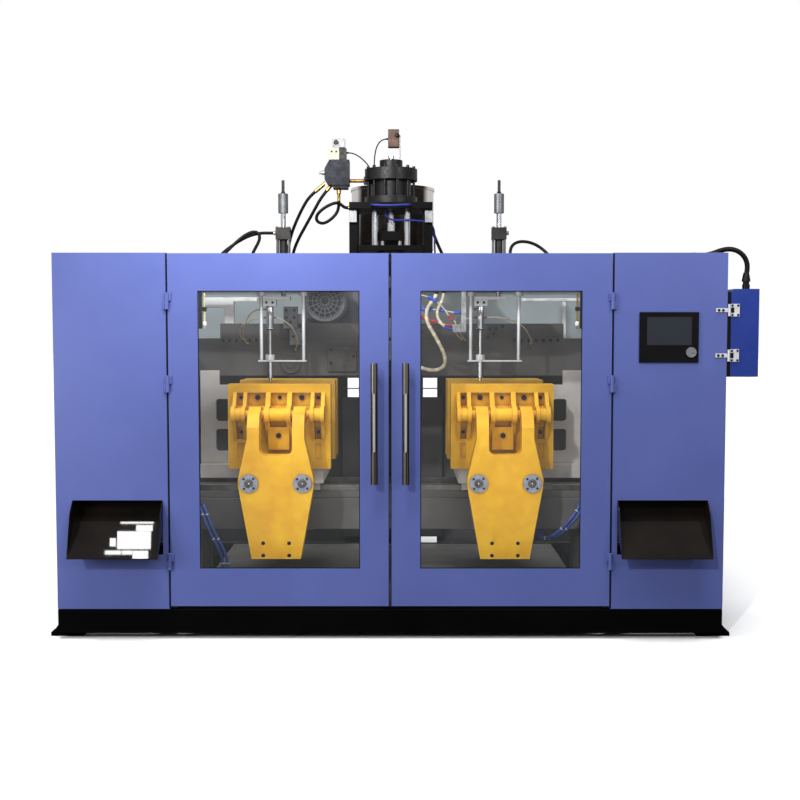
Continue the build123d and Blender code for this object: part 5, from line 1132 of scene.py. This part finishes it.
def dress_controls():
    dress("control_panel", "bezel_black", 0.0025, segments=3)
    dress("display_screen", "screen_dark", 0)
    dress("jog_dial", "dial_grey", 0.001)
    dress("operator_box", "box_blue", 0.002, [("box_gland", "screw_black", (0.038, 0.038, 0.038))],
          patch_look="black_rubber_and_shade", patch=lambda c: c.x < BOX_INNER - 0.0005)
    dress("box_hinge_straps", "bright_bar", 0.001)
    dress("box_hinge_plates", "bright_bar", 0.001)
    dress("stop_button", "button_red", 0.0008)
    dress("start_button", "button_black", 0.0008)


# Details that the CAD nodes leave out

TRIM = 0.004


def make_screen_trim():
    """A dark line round the display, and a collar at the foot of the jog dial."""
    low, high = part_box("display_screen")
    shape = bmesh.new()
    ring_of_blocks(shape, (low.x, low.y - 0.0012, low.z), (high.x, low.y + 0.0005, high.z), TRIM)
    round_edges(new_piece("screen_trim", shape, "screen_trim"), 0.0004)
    dial_low, dial_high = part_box("jog_dial")
    middle = (dial_low + dial_high) / 2
    radius = (dial_high.x - dial_low.x) / 2
    outline = [(radius + 0.0006, 0.0), (radius + 0.003, 0.0), (radius + 0.0026, 0.0012),
               (radius + 0.0006, 0.0012)]
    place = (middle.x, FRONT_Y - 0.008, middle.z)
    spun_piece("dial_collar", outline, place, FORWARD, "bezel_black", closed=True)


HINGE_LEFT = 1.7305
HINGE_HEIGHTS = (1.465, 1.695)
HINGE_FACE = -0.955


def make_box_hinge_details():
    """Dark blocks that paint the shade in the slots of the side box's hinges, and screw heads on them."""
    slot_shade = bmesh.new()
    for height in HINGE_HEIGHTS:
        block(slot_shade, (HINGE_LEFT + 0.001, HINGE_FACE - 0.0012, height - 0.013),
              (HINGE_LEFT + 0.017, HINGE_FACE + 0.0031, height + 0.013))
    new_piece("hinge_slots", slot_shade, "black_rubber_and_shade", "side_box")
    under_head = HINGE_FACE - 0.0022
    plate_screws = [(HINGE_LEFT + along_plate, under_head, height + rise)
                    for height in HINGE_HEIGHTS for along_plate in (0.008, 0.037) for rise in (-0.024, 0.024)]
    screw_heads("hinge_plate_screws", plate_screws, 0.0056, 0.0018, "screw_black", "side_box")
    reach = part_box("box_hinge_straps")[0].x
    strap_screws = [(reach + along_strap, under_head, height)
                    for height in HINGE_HEIGHTS for along_strap in (0.014, 0.036)]
    screw_heads("hinge_strap_screws", strap_screws, 0.0068, 0.0018, "screw_black")


DOOR_GAP_SHADE = 0.0052


def make_door_gap_shade():
    """A thin dark strip on the meeting edges of the doors: the painted shade of the gap between them."""
    for side, sign in SIDES.items():
        low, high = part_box(f"door_{side}")
        edge = min(abs(low.x), abs(high.x))
        xs = sorted((sign * (edge - 0.0006), sign * (edge + DOOR_GAP_SHADE)))
        corners = (xs[0], FRONT_Y - 0.0012, low.z + 0.002), (xs[1], FRONT_Y + 0.004, high.z - 0.002)
        box_piece(f"door_seal_{side}", [corners], "black_rubber_and_shade", 0.0006, f"door_{side}_body")


GAP_SHADE_X = (1.1338, 1.1395)


def make_gap_shade_strips():
    """Dark strips on the fixed panels, beside the doors' hinge edges: the painted shade of the gaps there."""
    for side, sign in SIDES.items():
        low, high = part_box(f"front_panel_{side}")
        xs = sorted(sign * x for x in GAP_SHADE_X)
        corners = (xs[0], FRONT_Y - 0.0009, low.z + 0.003), (xs[1], FRONT_Y + 0.003, high.z - 0.004)
        box_piece(f"gap_seal_{side}", [corners], "black_rubber_and_shade", 0.0005)


WINDOW_EDGE_SHADE = 0.004
PANE_OVERLAP = 0.015


def make_window_edge_shade():
    """A thin black frame round each window: the painted shade of the window's edge."""
    inset = PANE_OVERLAP + WINDOW_EDGE_SHADE
    for side in SIDES:
        pane_low, pane_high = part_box(f"window_{side}")
        shape = bmesh.new()
        low = (pane_low.x + inset, FRONT_Y + 0.0005, pane_low.z + inset)
        high = (pane_high.x - inset, pane_low.y - 0.0001, pane_high.z - inset)
        ring_of_blocks(shape, low, high, WINDOW_EDGE_SHADE)
        new_piece(f"window_seal_{side}", shape, "black_rubber_and_shade", f"door_{side}_body")


BOOTS = {
    "box_conduit_run": (0.013, 0.045, "hose_black"), "valve_lead": (0.0035, 0.016, "hose_black"),
    "sensor_lead": (0.0035, 0.016, "hose_black"), "heater_loom": (0.01, 0.035, "black_rubber_and_shade"),
    "head_hose_right": (0.009, 0.035, "hose_black"), "connector_loom": (0.0085, 0.03, "black_rubber_and_shade"),
}


def make_boots():
    """Tapered strain reliefs where cables leave a housing."""
    for name, (radius, length, look) in BOOTS.items():
        start, heading = along(route_line(bpy.data.objects[name]), 0.0)
        outline = [(radius * 1.02, 0.0), (radius * 1.7, 0.0), (radius * 1.6, length * 0.25),
                   (radius * 1.3, length * 0.7), (radius * 1.08, length), (radius * 1.01, length)]
        spun_piece(f"{name}_boot", outline, start, heading, look, segments=28, closed=True)


REAR_PLATE_Y = (0.915, 0.9175)
REAR_PLATES = {
    "rear_plate_left": ("guard_grey", (-1.62, -0.595), (1.46, 1.92)),
    "rear_plate_right": ("guard_grey", (0.17, 1.62), (1.46, 1.92)),
    "rear_plate_low": ("inner_shade", (-0.335, 0.335), (0.2, 1.142)),
    "rear_plate_middle": ("inner_shade", (-0.335, 0.335), (1.27, 1.46)),
    "rear_plate_centre": ("inner_shade", (-0.205, 0.205), (1.142, 1.27)),
    "rear_plate_bar_left": ("inner_shade", (-0.335, -0.205), (1.196, 1.203)),
    "rear_plate_bar_right": ("inner_shade", (0.205, 0.335), (1.196, 1.203)),
}


def make_rear_plates():
    """Bare sheets that close the rear bays above and between the rear covers; the inner_shade ones paint the
    shade there.
    """
    for name, (look, across, up) in REAR_PLATES.items():
        corners = (across[0], REAR_PLATE_Y[0], up[0]), (across[1], REAR_PLATE_Y[1], up[1])
        box_piece(name, [corners], look, 0.001)


BEAM_FACE = 0.3
BEAM_BOLT_Z = 1.528
BEAM_BOLTS_X = tuple(0.753 + 0.0445 * step for step in range(7))
BRACKET_FACE = BEAM_FACE - 0.012
BLOCK_FACE = BEAM_FACE - 0.045
LOWER_BLOCK_FACE = BEAM_FACE - 0.04
BLOCK_STEP = 1.6
PLATE_BOLTS = ((0.604, 1.598), (0.64, 1.6), (0.681, 1.615), (0.592, 1.55), (0.625, 1.566))
BRACKET_BOLTS = ((-0.372, 1.47), (-0.372, 1.39), (-0.235, 1.43))
BLOCK_BOLTS = ((-0.642, 1.712), (-0.594, 1.712), (-0.642, 1.668), (-0.594, 1.668), (-0.618, 1.64),
               (-0.55, 1.585), (-0.6, 1.552), (-0.55, 1.52))


def make_beam_fittings():
    """Bolts, a hydraulic block, a brown bracket, a round cover and a white rail on the dark rear beam."""
    places = [(x, BEAM_FACE, BEAM_BOLT_Z) for x in BEAM_BOLTS_X]
    places += [(x, BEAM_FACE, z) for x, z in PLATE_BOLTS]
    places += [(x, BRACKET_FACE, z) for x, z in BRACKET_BOLTS]
    screw_heads("beam_bolts_right", places, 0.009, 0.006, "screw_black")
    back = BEAM_FACE - 0.0005
    box_piece("beam_bracket", [((-0.392, BRACKET_FACE, 1.335), (-0.215, back, 1.49))], "cast_steel", 0.002)
    box_piece("hydraulic_block", [
        ((-0.66, BLOCK_FACE, BLOCK_STEP), (-0.575, back, 1.735)),
        ((-0.625, LOWER_BLOCK_FACE, 1.5), (-0.525, back, BLOCK_STEP)),
        ((-0.575, BEAM_FACE - 0.03, 1.63), (-0.53, back, 1.69)),
    ], "motor_grey", 0.003)
    places = [(x, BLOCK_FACE if z > BLOCK_STEP else LOWER_BLOCK_FACE, z) for x, z in BLOCK_BOLTS]
    screw_heads("hydraulic_block_screws", places, 0.0075, 0.004, "screw_black")
    cover_outline = [(0.0005, 0.012), (0.03, 0.012), (0.034, 0.008), (0.05, 0.008), (0.056, 0.012),
                     (0.062, 0.01), (0.062, -0.001)]
    spun_piece("beam_round_cover", cover_outline, (-0.62, BEAM_FACE, 1.385), FORWARD, "beam_dark",
               segments=56)
    front, rear = BEAM_FACE + 0.014, BEAM_FACE + 0.03
    box_piece("white_rail", [
        ((0.8, front, 1.768), (1.155, rear, 1.785)),
        ((1.05, front, 1.5405), (1.072, rear, 1.768)),
    ], "duct_white", 0.002)


def make_air_unions():
    """A union in each sleeve of a blow pin, where an air hose plugs in."""
    for side, hoses in AIR_HOSES.items():
        unions = bmesh.new()
        for diameter, _, points in hoses:
            tip = Vector(points[0])
            heading = (tip - Vector((PIN_X[side], PIN_Y, tip.z))).normalized()
            reach = diameter / 2
            outline = [(0.0005, -0.0155), (reach + 0.0022, -0.0155), (reach + 0.0022, -0.005),
                       (reach + 0.0014, -0.004), (reach + 0.0014, 0.0015), (reach + 0.0002, 0.002)]
            spin(unions, outline, tip, heading, 20)
        new_piece(f"air_unions_{side}", unions, "brass", f"blow_pin_{side}_body")


PROBE_X = 1.05
PROBE_Y = -0.298
PROBE_Z = 1.6


def make_side_probes():
    """A switch bracket that hangs from the front crossbeam at each outer side, with its rod and knob."""
    for side, sign in SIDES.items():
        xs = sorted((sign * (PROBE_X + 0.014), sign * (PROBE_X + 0.032)))
        middle = sign * (PROBE_X + 0.01)
        box_piece(f"probe_bracket_{side}", [
            ((xs[0], PROBE_Y - 0.012, PROBE_Z), (xs[1], PROBE_Y + 0.013, 1.8295)),
            ((middle - 0.022, PROBE_Y - 0.014, 1.7), (middle + 0.022, PROBE_Y + 0.012, 1.722)),
        ], "screw_black", 0.0015)
        spun_piece(f"probe_rod_{side}", [(0.0005, 0.0), (0.006, 0.0), (0.006, 0.2), (0.0005, 0.2)],
                   (sign * PROBE_X, PROBE_Y, PROBE_Z), UPWARD, "tape_cream" if side == "left" else "brass",
                   segments=20)
        knob_outline = [(0.0065, 0.0), (0.011, 0.003), (0.012, 0.014), (0.01, 0.024), (0.0065, 0.026)]
        spun_piece(f"probe_knob_{side}", knob_outline, (sign * PROBE_X, PROBE_Y, PROBE_Z + 0.015), UPWARD,
                   "duct_white", segments=24)


COLLAR_Z = 1.6
COLLAR_OUTLINE = [(0.0145, 0.0), (0.02, 0.0), (0.021, 0.002), (0.021, 0.125), (0.0195, 0.128),
                  (0.0145, 0.128)]
RING_OUTLINE = [(0.0145, 0.0), (0.0215, 0.001), (0.0225, 0.004), (0.0215, 0.0075), (0.0145, 0.008)]
PIN_BLOCK_Z = 1.75
PIN_BLOCK_FACE = -0.1701


def make_pin_collars():
    """The thicker chrome sleeve under each blow pin's clamp block, its black ring, and the block's screws."""
    for side, middle in PIN_X.items():
        body = f"blow_pin_{side}_body"
        spun_piece(f"pin_collar_{side}", COLLAR_OUTLINE, (middle, PIN_Y, COLLAR_Z), UPWARD, "pin_steel", body,
                   segments=48, closed=True)
        spun_piece(f"pin_ring_{side}", RING_OUTLINE, (middle, PIN_Y, COLLAR_Z - 0.0085), UPWARD, "black_rubber_and_shade",
                   body, segments=48, closed=True)
        places = [(middle + offset, PIN_BLOCK_FACE, PIN_BLOCK_Z) for offset in (-0.018, 0.018)]
        screw_heads(f"pin_block_screws_{side}", places, 0.0075, 0.003, "screw_black", body)


TIE_ROD_X = (-0.144, 0.144)
TIE_ROD_Z = 0.769
CAP_FACE = -0.6655
ROD_END_Y = -0.6576
CAP_PITCH = 0.037
CAP_TURN = 47


def make_cap_screws():
    """Four screws in each flanged cap of the tie rods, and the turned rod end in its middle."""
    end_outline = [(0.0005, -0.0002), (0.0035, 0.0001), (0.0055, 0.0024), (0.0105, 0.0024), (0.0112, 0.001),
                   (0.0136, 0.001), (0.0143, 0.0024), (0.0185, 0.0024), (0.0205, 0.0012), (0.0235, 0.0012),
                   (0.0235, -0.0005)]
    for side, sign in SIDES.items():
        places = []
        ends = bmesh.new()
        for rod in TIE_ROD_X:
            middle = sign * STATION_X + rod
            for step in range(4):
                angle = math.radians(CAP_TURN + 90 * step)
                x = middle + CAP_PITCH * math.cos(angle)
                places.append((x, CAP_FACE, TIE_ROD_Z + CAP_PITCH * math.sin(angle)))
            spin(ends, end_outline, (middle, ROD_END_Y, TIE_ROD_Z), FORWARD)
        screw_heads(f"cap_screws_{side}", places, 0.0062, 0.003, "screw_black", f"clamp_{side}_body")
        new_piece(f"rod_ends_{side}", ends, "rod_end_steel", f"clamp_{side}_body")


VALVE_SCREWS = ((-0.338, -0.1741, 2.606), (-0.312, -0.1741, 2.606))
SENSOR_KNOB = (0.036, -0.1755, 2.696)


def make_valve_details():
    """Two screws in the servo valve's cover, and the knob on the position sensor."""
    screw_heads("valve_screws", VALVE_SCREWS, 0.0055, 0.003, "screw_black")
    spun_piece("sensor_knob", [(0.006, 0), (0.011, 0.002), (0.012, 0.009), (0.009, 0.013), (0.003, 0.0145)],
               SENSOR_KNOB, FORWARD, "screw_black", segments=24)


FAN_CENTRE = Vector((-0.455, 1.008, 1.786))
FAN_SPOKES = 16


def make_fan_cover():
    """The motor's fan cover: rings and spokes over a dark disc."""
    disc = [(0.0005, 0.0), (0.118, 0.0), (0.118, -0.0015), (0.0005, -0.0015)]
    spun_piece("fan_cover_dark", disc, FAN_CENTRE, FORWARD, "screw_black", segments=64, closed=True)
    ribs = bmesh.new()
    for radius in (0.028, 0.056, 0.084, 0.112, 0.137):
        outline = [(radius - 0.002, 0), (radius + 0.002, 0), (radius + 0.002, 0.003), (radius - 0.002, 0.003)]
        spin(ribs, outline, FAN_CENTRE, FORWARD, segments=64, closed=True)
    for step in range(FAN_SPOKES):
        turn = Matrix.Rotation(math.tau * step / FAN_SPOKES, 4, "Y")
        place = Matrix.Translation(FAN_CENTRE) @ turn @ Matrix.Translation((0.082, -0.0015, 0))
        bmesh.ops.create_cube(ribs, size=1.0, matrix=place @ Matrix.Diagonal((0.112, 0.0028, 0.004, 1)))
    new_piece("fan_cover_ribs", ribs, "motor_grey")


CONNECTORS = {
    "connector_loom": [(0.9, "plug_blue", 0.011, 0.05)],
    "heater_lead_top": [(0.86, "plug_red", 0.008, 0.04), (0.42, "plug_blue", 0.011, 0.06)],
    "heater_lead_upper": [(0.93, "plug_blue", 0.009, 0.04), (0.36, "plug_blue", 0.012, 0.07),
                          (0.62, "plug_blue", 0.01, 0.05)],
    "heater_lead_lower": [(0.9, "plug_red", 0.009, 0.04), (0.3, "plug_red", 0.01, 0.05),
                          (0.58, "plug_red", 0.01, 0.05)],
}
TAPE_RINGS = {"heater_loom": 14, "connector_loom": 5}
TAPE_FROM = 0.06


def make_cable_details():
    """Tape rings on the heater looms, and the blue and red connectors at the hanger."""
    for name, count in TAPE_RINGS.items():
        cord = bpy.data.objects[name]
        line = route_line(cord)
        radius = cord.data.bevel_depth
        tape = bmesh.new()
        for step in range(count):
            half = 0.006 if step % 3 else 0.01
            outline = [(radius - 0.002, -half), (radius + 0.0006, -half), (radius + 0.001, 0),
                       (radius + 0.0006, half), (radius - 0.002, half)]
            share = TAPE_FROM + (1 - 2 * TAPE_FROM) * step / (count - 1)
            spin(tape, outline, *along(line, share), segments=20, closed=True)
        new_piece(f"{name}_tape", tape, "tape_cream")
    for name, plugs in CONNECTORS.items():
        line = route_line(bpy.data.objects[name])
        for number, (share, look, radius, length) in enumerate(plugs):
            half = length / 2
            outline = [(radius * 0.55, -half), (radius * 0.8, -half * 0.9), (radius, -half * 0.5),
                       (radius, half * 0.4), (radius * 1.15, half * 0.5), (radius * 1.15, half * 0.8),
                       (radius * 0.7, half)]
            spun_piece(f"{name}_plug_{number}", outline, *along(line, share), look, segments=24)


def make_details():
    make_screen_trim()
    make_box_hinge_details()
    make_door_gap_shade()
    make_rear_plates()
    make_beam_fittings()
    make_pin_collars()
    make_side_probes()
    make_air_unions()
    make_cap_screws()
    make_valve_details()
    make_fan_cover()
    make_cable_details()
    make_gap_shade_strips()
    make_window_edge_shade()
    make_boots()


dress_body_shell()
dress_stations()
dress_head()
dress_controls()
make_details()
